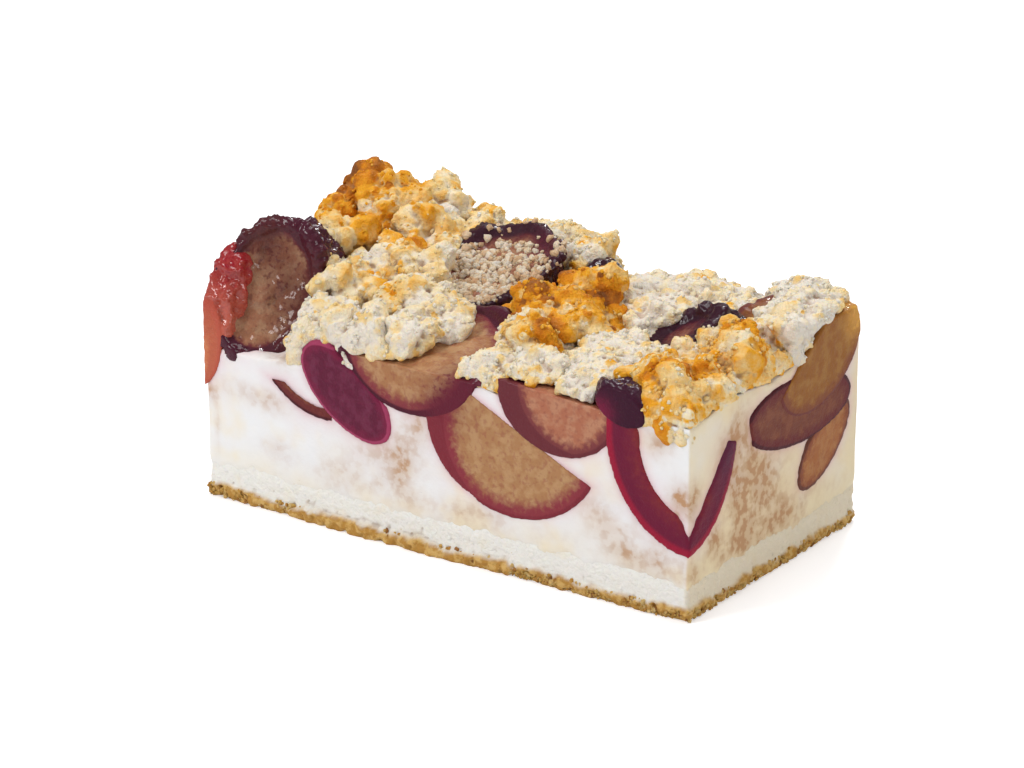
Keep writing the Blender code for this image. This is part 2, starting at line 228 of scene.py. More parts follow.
class Piece:
    """A mesh piece being shaped, with its vertices read and written in millimetres."""

    def __init__(self, obj: bpy.types.Object) -> None:
        """Takes hold of the object to shape."""
        self.obj = obj

    @classmethod
    def copy_of(cls, node: str) -> "Piece":
        """A welded copy of a CAD node, which itself stays as it is.

        Args:
            node: the CAD node's name.

        Returns:
            The copy, ready to be shaped.
        """
        piece = cls(link_mesh(f"baked_{node}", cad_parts[node].data.copy()))
        piece.obj.data.materials.clear()
        piece.edit()
        bpy.ops.mesh.remove_doubles(threshold=1e-6)
        bpy.ops.mesh.normals_make_consistent(inside=False)
        bpy.ops.object.mode_set(mode="OBJECT")
        return piece

    def focus(self) -> None:
        """Makes this the only selected object, and the active one."""
        deselect_all()
        self.obj.select_set(True)
        bpy.context.view_layer.objects.active = self.obj

    def edit(self) -> None:
        """Opens the piece in edit mode with all of it selected."""
        self.focus()
        bpy.ops.object.mode_set(mode="EDIT")
        bpy.ops.mesh.select_all(action="SELECT")

    def remesh(self, voxel: float) -> None:
        """Gives the piece an even skin.

        Args:
            voxel: size of the new skin's cells.
        """
        self.focus()
        modifier = self.obj.modifiers.new("Even skin", "REMESH")
        modifier.mode = "VOXEL"
        modifier.voxel_size = voxel * MM
        bpy.ops.object.modifier_apply(modifier=modifier.name)

    def soften(self, factor: float, repeats: int) -> None:
        """Evens out the surface.

        Args:
            factor: strength of each pass.
            repeats: number of passes.
        """
        self.focus()
        modifier = self.obj.modifiers.new("Soften", "SMOOTH")
        modifier.factor = factor
        modifier.iterations = repeats
        bpy.ops.object.modifier_apply(modifier=modifier.name)

    def points(self) -> Array:
        """Reads the vertices.

        Returns:
            Their places in millimetres, one per row.
        """
        flat = np.empty(len(self.obj.data.vertices) * 3, np.float32)
        self.obj.data.vertices.foreach_get("co", flat)
        return flat.reshape(-1, 3).astype(np.float64) / MM

    def normals(self) -> Array:
        """Reads the vertices' normals.

        Returns:
            The outward direction at each vertex, one per row.
        """
        flat = np.empty(len(self.obj.data.vertices) * 3, np.float32)
        self.obj.data.vertex_normals.foreach_get("vector", flat)
        return flat.reshape(-1, 3).astype(np.float64)

    def place(self, points: Array) -> None:
        """Moves the vertices to new places in millimetres, one per row."""
        self.obj.data.vertices.foreach_set("co", (points * MM).astype(np.float32).ravel())
        self.obj.data.update()

    def push(self, amounts: Array) -> None:
        """Moves each vertex along its normal by its amount in millimetres."""
        self.place(self.points() + self.normals() * amounts[:, None])

    def mark(self, name: str, values: Array) -> None:
        """Stores a named number for each vertex, which the material reads."""
        layer = self.obj.data.attributes.new(name, "FLOAT", "POINT")
        layer.data.foreach_set("value", values.astype(np.float32))

    def hollows(self, rounds: int = 8) -> Array:
        """How far each vertex lies below its smoothed surroundings.

        Args:
            rounds: passes of smoothing, so how wide the surroundings are.

        Returns:
            One depth in millimetres for each vertex, below 0 on a bump.
        """
        count = len(self.obj.data.vertices)
        ends = np.empty(len(self.obj.data.edges) * 2, np.int32)
        self.obj.data.edges.foreach_get("vertices", ends)
        first, second = ends.reshape(-1, 2).T
        near = np.maximum(np.bincount(ends, minlength=count), 1)
        points = self.points()
        smooth = points.copy()
        for _ in range(rounds):
            for axis in range(3):
                sums = np.bincount(first, smooth[second, axis], count)
                sums += np.bincount(second, smooth[first, axis], count)
                smooth[:, axis] = sums / near
        return ((smooth - points) * self.normals()).sum(axis=1)

    def settle(self, material: bpy.types.Material, slot: str, *nodes: str) -> None:
        """Finishes the piece: smooth shading, its material, its body and the nodes it replaces.

        Args:
            material: the finish.
            slot: not used.
            nodes: the CAD nodes that this piece stands for.
        """
        self.obj.data.materials.append(material)
        self.obj.data.shade_smooth()
        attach(self.obj, "root")
        if nodes:
            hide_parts(*nodes)
        LOG.info("%s: %d faces", self.obj.name, len(self.obj.data.polygons))


class Layout:
    """Adds nodes to one node tree and joins them."""

    def __init__(self, tree: bpy.types.NodeTree) -> None:
        """Takes hold of the tree of a material or of a node group."""
        self.tree = tree

    def feed(self, socket: Socket, value: object) -> None:
        """Sets or links an input.

        Args:
            socket: the input.
            value: an output to link, or a plain value.
        """
        if isinstance(value, Socket):
            self.tree.links.new(value, socket)
        else:
            socket.default_value = value

    def maths(self, operation: str, first: object, second: object = 0.0) -> Socket:
        """One sum on numbers.

        Args:
            operation: the Math node's operation.
            first: an output or a number.
            second: an output or a number.

        Returns:
            The result's output.
        """
        node = self.tree.nodes.new("ShaderNodeMath")
        node.operation = operation
        self.feed(node.inputs[0], first)
        self.feed(node.inputs[1], second)
        return node.outputs[0]

    def times(self, value: object, factor: object) -> Socket:
        """The output of a value times a factor, each an output or a number."""
        return self.maths("MULTIPLY", value, factor)

    def fit(self, value: object, low: float, high: float) -> Socket:
        """Stretches a range to 0 to 1 and clips what is outside.

        Args:
            value: the output to stretch.
            low: what becomes 0.
            high: what becomes 1.

        Returns:
            The stretched output.
        """
        node = self.tree.nodes.new("ShaderNodeMapRange")
        node.interpolation_type = "SMOOTHSTEP"
        self.feed(node.inputs["Value"], value)
        node.inputs["From Min"].default_value = low
        node.inputs["From Max"].default_value = high
        return node.outputs["Result"]

    def noise(self, place: object, scale: object, detail: float) -> Socket:
        """Soft noise from 0 to 1.

        Args:
            place: the coordinates' output.
            scale: features per metre.
            detail: octaves beyond the first.

        Returns:
            The noise's output.
        """
        node = self.tree.nodes.new("ShaderNodeTexNoise")
        self.feed(node.inputs["Vector"], place)
        self.feed(node.inputs["Scale"], scale)
        node.inputs["Detail"].default_value = detail
        return node.outputs["Fac"]

    def cells(self, place: object, scale: object) -> Socket:
        """Distance to the nearest of many scattered points.

        Args:
            place: the coordinates' output.
            scale: points per metre.

        Returns:
            The distance's output.
        """
        node = self.tree.nodes.new("ShaderNodeTexVoronoi")
        self.feed(node.inputs["Vector"], place)
        self.feed(node.inputs["Scale"], scale)
        return node.outputs["Distance"]

    def blend(self, mask: object, first: object, second: object) -> Socket:
        """Mixes two colours.

        Args:
            mask: 0 for the first colour, 1 for the second.
            first: an output or a colour.
            second: an output or a colour.

        Returns:
            The mixed colour's output.
        """
        node = self.tree.nodes.new("ShaderNodeMix")
        node.data_type = "RGBA"
        self.feed(node.inputs[0], mask)
        for socket, value in ((node.inputs[6], first), (node.inputs[7], second)):
            self.feed(socket, (*value, 1.0) if isinstance(value, tuple) else value)
        return node.outputs[2]

    def ramp(self, value: object, stops: Sequence[tuple[float, Colour]]) -> Socket:
        """Turns a number into a colour.

        Args:
            value: the output to read.
            stops: places from 0 to 1 and the colour at each.

        Returns:
            The colour's output.
        """
        node = self.tree.nodes.new("ShaderNodeValToRGB")
        self.feed(node.inputs["Fac"], value)
        elements = node.color_ramp.elements
        while len(elements) < len(stops):
            elements.new(0.5)
        for element, (place, colour) in zip(elements, stops):
            element.position = place
            element.color = (*colour, 1.0)
        return node.outputs["Color"]


class SharedEffects:
    """The node groups that several materials use, each built once."""

    def __init__(self) -> None:
        """Builds the groups."""
        self.mottle = self.build_mottle()
        self.speckle = self.build_speckle()
        self.relief = self.build_relief()

    @staticmethod
    def start(name: str, numbers: dict[str, float], output: str) -> Layout:
        """Begins a group with coordinates, named numbers and one output.

        Args:
            name: the group's name.
            numbers: the name and starting value of each number.
            output: the output's name.

        Returns:
            A layout for the new group.
        """
        tree = bpy.data.node_groups.new(name, "ShaderNodeTree")
        tree.interface.new_socket("Place", in_out="INPUT", socket_type="NodeSocketVector")
        for label, value in numbers.items():
            made = tree.interface.new_socket(label, in_out="INPUT", socket_type="NodeSocketFloat")
            made.default_value = value
        tree.interface.new_socket(output, in_out="OUTPUT", socket_type="NodeSocketFloat")
        tree.nodes.new("NodeGroupInput")
        tree.nodes.new("NodeGroupOutput")
        return Layout(tree)

    def build_mottle(self) -> bpy.types.NodeTree:
        """Soft blotches, by their size in millimetres and the share that they cover.

        Returns:
            The group, which puts out a mask.
        """
        layout = self.start("Blotches", {"Size": 5.0, "Share": 0.5}, "Mask")
        given = layout.tree.nodes["Group Input"].outputs
        scale = layout.maths("DIVIDE", 1000.0, given["Size"])
        broad = layout.noise(given["Place"], scale, 3.0)
        level = layout.maths("ADD", broad, layout.maths("SUBTRACT", given["Share"], 0.5))
        layout.feed(layout.tree.nodes["Group Output"].inputs[0], layout.fit(level, 0.42, 0.62))
        return layout.tree

    def build_speckle(self) -> bpy.types.NodeTree:
        """Small dots, by their spacing in millimetres and their radius.

        Returns:
            The group, which puts out a mask.
        """
        layout = self.start("Specks", {"Size": 1.0, "Radius": 0.3}, "Mask")
        given = layout.tree.nodes["Group Input"].outputs
        scale = layout.maths("DIVIDE", 1000.0, given["Size"])
        wobble = layout.times(layout.noise(given["Place"], scale, 2.0), 0.5)
        apart = layout.maths("ADD", layout.cells(given["Place"], scale), wobble)
        edge = layout.maths("ADD", given["Radius"], 0.25)
        inside = layout.times(layout.maths("SUBTRACT", edge, apart), 6.0)
        layout.feed(layout.tree.nodes["Group Output"].inputs[0], layout.fit(inside, 0.0, 1.0))
        return layout.tree

    def build_relief(self) -> bpy.types.NodeTree:
        """Fine relief from rounded grains of one size and a finer roughness.

        Returns:
            The group, which puts out a height.
        """
        layout = self.start("Fine relief", {"Size": 1.0, "Grains": 0.5}, "Height")
        given = layout.tree.nodes["Group Input"].outputs
        scale = layout.maths("DIVIDE", 1000.0, given["Size"])
        grains = layout.maths("SUBTRACT", 1.0, layout.cells(given["Place"], scale))
        fine = layout.noise(given["Place"], layout.times(scale, 2.2), 3.0)
        mixed = layout.times(grains, given["Grains"])
        layout.feed(layout.tree.nodes["Group Output"].inputs[0], layout.maths("ADD", mixed, fine))
        return layout.tree


EFFECTS = SharedEffects()


class Recipe(Layout):
    """Lays out one material round its Principled shader."""

    def __init__(self, name: str, roughness: float, specular: float = 0.5) -> None:
        """Starts a material.

        Args:
            name: the material's name.
            roughness: the shader's roughness.
            specular: the shader's specular level.
        """
        self.material = bpy.data.materials.new(name)
        self.material.use_nodes = True
        super().__init__(self.material.node_tree)
        self.shader = self.tree.nodes["Principled BSDF"]
        self.shader.inputs["Roughness"].default_value = roughness
        self.shader.inputs["Specular IOR Level"].default_value = specular
        self.shader.inputs["Coat Roughness"].default_value = JUICE_ROUGHNESS
        self.place = self.tree.nodes.new("ShaderNodeTexCoord").outputs["Object"]

    def attribute(self, name: str) -> Socket:
        """Reads a number that the piece stores for each vertex.

        Args:
            name: the number's name.

        Returns:
            The number's output.
        """
        node = self.tree.nodes.new("ShaderNodeAttribute")
        node.attribute_name = name
        return node.outputs["Fac"]

    def effect(self, group: bpy.types.NodeTree, size: float, amount: float) -> Socket:
        """Places a shared effect.

        Args:
            group: the effect's node group.
            size: its feature size in millimetres.
            amount: its second number.

        Returns:
            The effect's output.
        """
        node = self.tree.nodes.new("ShaderNodeGroup")
        node.node_tree = group
        self.feed(node.inputs[0], self.place)
        node.inputs[1].default_value = size
        node.inputs[2].default_value = amount
        return node.outputs[0]

    def scatter_light(self, weight: float, reach: float, radius: Colour) -> None:
        """Lets light into the surface.

        Args:
            weight: share of the light that goes in.
            reach: how far it spreads, in millimetres.
            radius: spread of red, green and blue.
        """
        self.shader.inputs["Subsurface Weight"].default_value = weight
        self.shader.inputs["Subsurface Scale"].default_value = reach * MM
        self.shader.inputs["Subsurface Radius"].default_value = radius

    def emboss(self, height: object, depth: float, strength: float = 1.0) -> None:
        """Feeds a height to the shader's normal.

        Args:
            height: the height's output.
            depth: what a height of 1 stands for, in millimetres.
            strength: share of the effect.
        """
        bump = self.tree.nodes.new("ShaderNodeBump")
        bump.inputs["Strength"].default_value = strength
        bump.inputs["Distance"].default_value = depth * MM
        self.feed(bump.inputs["Height"], height)
        self.feed(self.shader.inputs["Normal"], bump.outputs["Normal"])

    def paint(self, colour: object) -> bpy.types.Material:
        """Feeds an output to the base colour and gives the finished material."""
        self.feed(self.shader.inputs["Base Color"], colour)
        return self.material


@dataclass(frozen=True)
class CurdFinish:
    """Baked curd: matt white with yellow veins, stained by plum juice, with painted shade on its
    short face.
    """

    white: Colour = (0.81, 0.81, 0.81)
    # yellow serves both the real cream veins and the painted shade on the short face and round the
    # back corner
    yellow: Colour = (0.83, 0.71, 0.47)
    pink: Colour = (0.66, 0.33, 0.38)
    # tan serves the real brown stains and the painted shade spread over the short face
    tan: Colour = (0.47, 0.25, 0.115)
    grey: Colour = (0.30, 0.29, 0.33)
    freckle: Colour = (0.52, 0.44, 0.22)

    def material(self) -> bpy.types.Material:
        """Lays out the curd's material.

        Returns:
            The finished material.
        """
        recipe = Recipe("baked_curd", 0.5, 0.15)
        veins = recipe.effect(EFFECTS.mottle, 11.0, 0.45)
        # the cream mask holds the real cream veins and low band plus painted shade on the short
        # face and round the back corner
        cream_and_shade = recipe.maths("ADD", recipe.attribute("cream_and_shade"), recipe.times(veins, 0.34))
        colour = recipe.blend(recipe.fit(cream_and_shade, 0.0, 1.0), self.white, self.yellow)
        low = recipe.attribute("crumbly")
        freckles = recipe.times(recipe.effect(EFFECTS.speckle, 1.7, 0.05), low)
        colour = recipe.blend(recipe.times(freckles, 0.5), colour, self.freckle)
        colour = recipe.blend(recipe.attribute("juice"), colour, self.pink)
        patch = recipe.times(recipe.effect(EFFECTS.mottle, 1.6, 0.5), 0.5)
        patch = recipe.maths("ADD", patch, 0.6)
        # this mask carries the real brown stains and one broad painted shade over the short face
        stained = recipe.times(recipe.attribute("browning_and_shade"), patch)
        colour = recipe.blend(recipe.maths("MINIMUM", stained, 0.95), colour, self.tan)
        specks = recipe.times(recipe.effect(EFFECTS.speckle, 1.0, 0.12), 0.8)
        flecked = recipe.times(specks, recipe.attribute("greying"))
        colour = recipe.blend(flecked, colour, self.grey)
        recipe.scatter_light(0.2, 1.0, (1.0, 0.85, 0.7))
        recipe.emboss(recipe.effect(EFFECTS.relief, 1.4, 0.5), 0.16, 0.6)
        return recipe.paint(colour)


@dataclass(frozen=True)
class DoughFinish:
    """Baked yeast dough: off-white and porous, with a golden-brown underside."""

    crumb: Colour = (0.83, 0.81, 0.755)
    pore: Colour = (0.55, 0.46, 0.26)
    crust: Colour = (0.48, 0.25, 0.055)
    pale_crust: Colour = (0.66, 0.42, 0.14)
    burnt: Colour = (0.20, 0.085, 0.03)
    warm: Colour = (0.80, 0.70, 0.50)
    # painted shade: the cream tone laid over the dough's short +X face, which lies out of the key
    # light
    cream: Colour = (0.74, 0.60, 0.37)
    # painted shade: the dark brown laid into the dough's hollows and pores
    recess_shade: Colour = (0.26, 0.125, 0.04)

    def material(self) -> bpy.types.Material:
        """Lays out the dough's material.

        Returns:
            The finished material.
        """
        recipe = Recipe("baked_dough", 0.75, 0.15)
        pores = recipe.effect(EFFECTS.speckle, 1.0, 0.10)
        pale = recipe.blend(recipe.times(pores, 0.7), self.crumb, self.pore)
        warm = recipe.effect(EFFECTS.mottle, 4.0, 0.4)
        pale = recipe.blend(recipe.times(warm, 0.3), pale, self.warm)
        # painted shade: the short face is tinted towards the cream shade colour
        cream_and_shade = recipe.times(recipe.attribute("cream_and_shade"), 0.6)
        pale = recipe.blend(cream_and_shade, pale, self.cream)
        blotch = recipe.effect(EFFECTS.mottle, 1.5, 0.5)
        brown = recipe.blend(blotch, self.crust, self.pale_crust)
        specks = recipe.effect(EFFECTS.speckle, 1.3, 0.10)
        brown = recipe.blend(recipe.times(specks, 0.8), brown, self.burnt)
        colour = recipe.blend(recipe.attribute("crust"), pale, brown)
        # painted shade: recessed vertices darken towards the dark brown shade colour
        dark = recipe.fit(recipe.attribute("hollow"), 0.12, 0.55)
        colour = recipe.blend(recipe.times(dark, 0.75), colour, self.recess_shade)
        recipe.scatter_light(0.15, 0.8, (1.0, 0.7, 0.4))
        recipe.emboss(recipe.effect(EFFECTS.relief, 0.9, 0.8), 0.3, 0.9)
        return recipe.paint(colour)


@dataclass(frozen=True)
class CrumbleFinish:
    """Butter crumble, from cream through yellow to amber as it browns."""

    name: str = "baked_crumble"
    cream: Colour = (0.79, 0.72, 0.62)
    pale: Colour = (0.85, 0.73, 0.51)
    yellow: Colour = (0.86, 0.61, 0.26)
    golden: Colour = (0.82, 0.38, 0.020)
    amber: Colour = (0.64, 0.215, 0.010)
    brown: Colour = (0.27, 0.09, 0.018)
    fleck: Colour = (0.84, 0.76, 0.60)
    # painted shade: the dark brown laid into the crevices between the lumps
    crevice_shade: Colour = (0.36, 0.18, 0.09)

    def material(self) -> bpy.types.Material:
        """Lays out the crumble's material.

        Returns:
            The finished material.
        """
        recipe = Recipe(self.name, 0.55, 0.13)
        blotch = recipe.effect(EFFECTS.mottle, 2.2, 0.5)
        baking = recipe.maths("ADD", recipe.attribute("baking"), recipe.times(blotch, 0.11))
        colour = recipe.ramp(
            recipe.maths("SUBTRACT", baking, 0.07),
            (
                (0.02, self.cream),
                (0.18, self.pale),
                (0.36, self.yellow),
                (0.57, self.golden),
                (0.78, self.amber),
                (1.0, self.brown),
            ),
        )
        flecks = recipe.effect(EFFECTS.speckle, 1.3, 0.02)
        colour = recipe.blend(recipe.times(flecks, 0.2), colour, self.fleck)
        # painted shade: the deeper a vertex lies in a crevice, the more it darkens towards the
        # brown shade colour
        shade = recipe.fit(recipe.attribute("hollow"), 0.08, 0.85)
        colour = recipe.blend(recipe.times(shade, 0.78), colour, self.crevice_shade)
        recipe.scatter_light(0.25, 0.8, (1.0, 0.65, 0.35))
        recipe.emboss(recipe.effect(EFFECTS.relief, 0.6, 0.8), 0.3, 0.95)
        return recipe.paint(colour)


@dataclass(frozen=True)
class PlumFinish:
    """Baked plum: its skin, the band under it and the speckled flesh inside.

    dusk is the colour of its darker spots, wet the weight of the juice on bare skin and dots
    the share of pale seeds in the flesh. Widths are in millimetres.
    """

    name: str
    skin: Colour
    band: Colour
    flesh: Colour
    fleck: Colour
    dusk: Colour = (0.10, 0.009, 0.025)
    seed: Colour = (0.66, 0.50, 0.27)
    skin_width: float = 0.35
    band_width: float = 2.2
    wet: float = 0.8
    dots: float = 0.6

    def material(self) -> bpy.types.Material:
        """Lays out the plum's material.

        Returns:
            The finished material.
        """
        recipe = Recipe(self.name, 0.6, 0.12)
        wander = recipe.times(recipe.effect(EFFECTS.mottle, 1.3, 0.5), 0.8)
        shift = recipe.maths("SUBTRACT", wander, 0.4)
        depth = recipe.maths("ADD", recipe.attribute("depth"), shift)
        inner = recipe.fit(depth, self.band_width * 0.35, self.band_width * 1.6)
        under = recipe.fit(recipe.attribute("depth"), self.skin_width * 0.6, self.skin_width * 1.5)
        blotch = recipe.effect(EFFECTS.mottle, 2.4, 0.5)
        flesh = recipe.blend(recipe.times(blotch, 0.6), self.flesh, self.fleck)
        streaks = recipe.effect(EFFECTS.mottle, 0.9, 0.42)
        flesh = recipe.blend(recipe.times(streaks, 0.34), flesh, self.band)
        seeds = recipe.effect(EFFECTS.speckle, 0.85, 0.07)
        flesh = recipe.blend(recipe.times(seeds, self.dots), flesh, self.seed)
        colour = recipe.blend(inner, self.band, flesh)
        colour = recipe.blend(under, self.skin, colour)
        patchy = recipe.maths("ADD", recipe.times(streaks, 0.35), 0.8)
        dim = recipe.times(recipe.attribute("dusk"), patchy)
        colour = recipe.blend(recipe.fit(dim, 0.0, 1.0), colour, self.dusk)
        self.wet_with_juice(recipe)
        recipe.scatter_light(0.12, 0.7, (1.0, 0.35, 0.2))
        recipe.emboss(recipe.effect(EFFECTS.relief, 0.8, 0.5), 0.2, 0.8)
        return recipe.paint(colour)

    def wet_with_juice(self, recipe: Recipe) -> None:
        """Makes bare skin wet, and dots the knife cuts with drops of juice.

        Args:
            recipe: the plum's material in the making.
        """
        drops = recipe.times(recipe.effect(EFFECTS.speckle, 1.2, 0.02), 0.8)
        gloss = recipe.maths("MAXIMUM", recipe.attribute("gloss"), drops)
        dull = recipe.maths("SUBTRACT", 0.62, recipe.times(gloss, 0.36))
        recipe.feed(recipe.shader.inputs["Roughness"], dull)
        recipe.feed(recipe.shader.inputs["Coat Weight"], recipe.times(gloss, self.wet))


class PlumTone(Enum):
    """The kinds of baked plum on this cake."""

    TAN = PlumFinish("plum_tan", (0.20, 0.022, 0.035), (0.24, 0.032, 0.045), (0.39, 0.195, 0.085),
                     (0.50, 0.31, 0.15), dusk=(0.15, 0.014, 0.028))
    UMBER = PlumFinish("plum_umber", (0.07, 0.007, 0.020), (0.22, 0.036, 0.045),
                       (0.37, 0.17, 0.075), (0.50, 0.30, 0.15), dusk=(0.12, 0.010, 0.026),
                       skin_width=0.6)
    ROSE = PlumFinish("plum_rose", (0.14, 0.024, 0.032), (0.19, 0.040, 0.042), (0.40, 0.145, 0.08),
                      (0.50, 0.26, 0.15), band_width=1.6)
    BEIGE = PlumFinish("plum_beige", (0.034, 0.005, 0.014), (0.10, 0.014, 0.020),
                       (0.30, 0.12, 0.065), (0.42, 0.23, 0.14), skin_width=1.2, band_width=2.4)
    BURGUNDY = PlumFinish("plum_burgundy", (0.34, 0.045, 0.11), (0.17, 0.012, 0.045),
                          (0.11, 0.010, 0.034), (0.17, 0.028, 0.065), skin_width=0.35,
                          band_width=1.4, dots=0.12)
    CRIMSON = PlumFinish("plum_crimson", (0.30, 0.008, 0.034), (0.14, 0.007, 0.032),
                         (0.21, 0.020, 0.030), (0.28, 0.045, 0.024), dusk=(0.10, 0.018, 0.045),
                         skin_width=1.1, band_width=5.6, dots=0.25)
    CORAL = PlumFinish("plum_coral", (0.47, 0.10, 0.06), (0.46, 0.11, 0.06), (0.52, 0.15, 0.07),
                       (0.60, 0.22, 0.10), dusk=(0.29, 0.006, 0.014), dots=0.1)
    OLIVE = PlumFinish("plum_olive", (0.06, 0.005, 0.018), (0.13, 0.016, 0.024),
                       (0.32, 0.14, 0.075), (0.46, 0.28, 0.16), dusk=(0.10, 0.022, 0.016),
                       skin_width=0.8, band_width=1.4)
    BLACK = PlumFinish("plum_black", (0.034, 0.004, 0.014), (0.07, 0.008, 0.020),
                       (0.20, 0.06, 0.045), (0.30, 0.12, 0.08), skin_width=0.9, band_width=2.2)
    BROWN = PlumFinish("plum_brown", (0.16, 0.038, 0.03), (0.22, 0.065, 0.025), (0.29, 0.11, 0.02),
                       (0.38, 0.18, 0.045), dusk=(0.72, 0.36, 0.06), band_width=1.6, dots=0.25)
    INK = PlumFinish("plum_ink", (0.04, 0.004, 0.018), (0.10, 0.008, 0.03), (0.14, 0.012, 0.035),
                     (0.18, 0.02, 0.04), dusk=(0.20, 0.010, 0.045), skin_width=4.0, dots=0.05)
    MAROON = PlumFinish("plum_maroon", (0.07, 0.010, 0.015), (0.14, 0.022, 0.022),
                        (0.18, 0.050, 0.028), (0.25, 0.085, 0.04), band_width=1.6, dots=0.15)
    RUSSET = PlumFinish("plum_russet", (0.13, 0.040, 0.025), (0.25, 0.070, 0.03),
                        (0.37, 0.135, 0.045), (0.45, 0.21, 0.075), band_width=1.2, dots=0.25)


PLUM_FOLDS = SoftNoise(4.2, 3, 2)
PLUM_WRINKLES = SoftNoise(1.5, 9, 2)
RIM_WAVES = SoftNoise(5.0, 21, 2)
FLESH_DIPS = SoftNoise(3.4, 33, 2)
FLESH_GRAIN = SoftNoise(0.9, 41, 2)
RIM_PATCHES = SoftNoise(4.0, 61, 2)
GRAIN_HEIGHT = 0.09
KNIFE_REACH = 0.3
CLIP_ROOM = 0.1


@dataclass(frozen=True)
class PlumPiece:
    """One piece of baked plum: its fruit's ellipsoid, its flesh cuts and how it baked.

    Each flesh cut is an outward normal and its distance from the centre. crinkle is the height
    of the skin's wrinkles, rim how far the skin curls up round the flesh, and blush the side
    on which the red band runs deeper, as long as it is deep. grow is how far the fruit swells
    past its plain solid, and proud how far it stands out of the cake's cut faces.
    """

    node: str
    tone: PlumTone
    centre: Triple
    radii: Triple
    turn: Triple = (0.0, 0.0, 0.0)
    flesh: tuple[tuple[Triple, float], ...] = ()
    wall: float = 99.0
    crinkle: float = 0.25
    rim: float = 0.0
    dish: float = 0.4
    blush: Triple = (0.0, 0.0, 0.0)
    spots: tuple[Spot, ...] = ()
    voxel: float = 0.42
    grow: float = 0.28
    proud: float = 0.2

    def inwards(self, points: Array) -> tuple[Array, Array]:
        """Depth under the fruit's skin and the outward direction there.

        Args:
            points: places in millimetres, one per row.

        Returns:
            The depth of each place, below 0 outside the fruit, and its outward direction.
        """
        spin = np.array(Euler([math.radians(angle) for angle in self.turn]).to_matrix())
        local = (points - np.array(self.centre)) @ spin / np.array(self.radii)
        share = np.maximum(np.linalg.norm(local, axis=1), 1e-6)
        slope = local / np.array(self.radii)
        steep = np.maximum(np.linalg.norm(slope, axis=1), 1e-6)
        outward = (slope / steep[:, None]) @ spin.T
        return (1.0 - share) * share / steep, outward

    def past_cuts(self, points: Array) -> Array:
        """How far each place lies beyond the nearest flesh cut.

        Args:
            points: places in millimetres, one per row.

        Returns:
            The distance for each row, below 0 on the fruit's side of every cut.
        """
        beyond = np.full(len(points), -99.0)
        for normal, offset in self.flesh:
            direction = np.array(normal) / np.linalg.norm(normal)
            beyond = np.maximum(beyond, (points - np.array(self.centre)) @ direction - offset)
        return beyond

    def gap_to(self, points: Array) -> Array:
        """How far each place lies outside the piece.

        Args:
            points: places in millimetres, one per row.

        Returns:
            The distance for each row, 0 inside the piece.
        """
        depth, _ = self.inwards(points)
        outside = np.maximum(np.maximum(-depth, self.past_cuts(points)), depth - self.wall)
        return np.maximum(outside, 0.0)

    def ball(self, name: str, grow: float) -> Piece:
        """The whole fruit.

        Args:
            name: the new object's name.
            grow: what is added to each radius.

        Returns:
            The fruit as a closed ball.
        """
        deselect_all()
        bpy.ops.mesh.primitive_uv_sphere_add(segments=48, ring_count=32, radius=1.0)
        obj = bpy.context.object
        obj.name = obj.data.name = name
        obj.scale = [(radius + grow) * MM for radius in self.radii]
        obj.rotation_euler = [math.radians(angle) for angle in self.turn]
        obj.location = Vector(self.centre) * MM
        bpy.ops.object.transform_apply(location=True, rotation=True, scale=True)
        return Piece(obj)

    def cut_fruit(self) -> Piece:
        """Cuts the fruit's flesh, and slices it where the knife went through the cake.

        Returns:
            The cut fruit as a closed piece.
        """
        piece = self.ball(f"baked_{self.node}", self.grow)
        cuts = [(Vector(self.centre) + Vector(normal).normalized() * offset, Vector(normal))
                for normal, offset in self.flesh]
        for side in (-1.0, 1.0):
            cuts.append((Vector((side * (HALF_LENGTH + self.proud), 0, 0)), Vector((side, 0, 0))))
            cuts.append((Vector((0, side * (HALF_WIDTH + self.proud), 0)), Vector((0, side, 0))))
        for point, normal in cuts:
            piece.edit()
            bpy.ops.mesh.bisect(
                plane_co=point * MM, plane_no=normal.normalized(), use_fill=True, clear_outer=True
            )
            bpy.ops.object.mode_set(mode="OBJECT")
        if self.wall < min(self.radii):
            hollow = self.ball("hollow", -self.wall)
            piece.focus()
            modifier = piece.obj.modifiers.new("Hollow", "BOOLEAN")
            modifier.operation = "DIFFERENCE"
            modifier.object = hollow.obj
            bpy.ops.object.modifier_apply(modifier=modifier.name)
            bpy.data.objects.remove(hollow.obj)
        return piece

    def build(self) -> Piece:
        """Shapes the piece and stores on it what its material reads.

        Returns:
            The shaped piece, not dressed yet.
        """
        piece = self.cut_fruit()
        piece.remesh(self.voxel)
        piece.soften(0.5, 2)
        knife, opened = self.roughen(piece)
        points = piece.points()
        depth, outward = self.inwards(points)
        reach = np.maximum(outward @ np.array(self.blush), 0.0)
        curled = 0.9 * self.rim * opened * (0.7 + 0.6 * RIM_PATCHES.at(points))
        piece.mark("depth", np.maximum(depth - reach - curled, 0.0))
        piece.mark("gloss", (1.0 - 0.55 * opened) * (1.0 - 0.9 * knife))
        dusk = sum((spot.at(points) for spot in self.spots), np.zeros(len(points)))
        piece.mark("dusk", np.clip(dusk, 0.0, 1.0))
        return piece

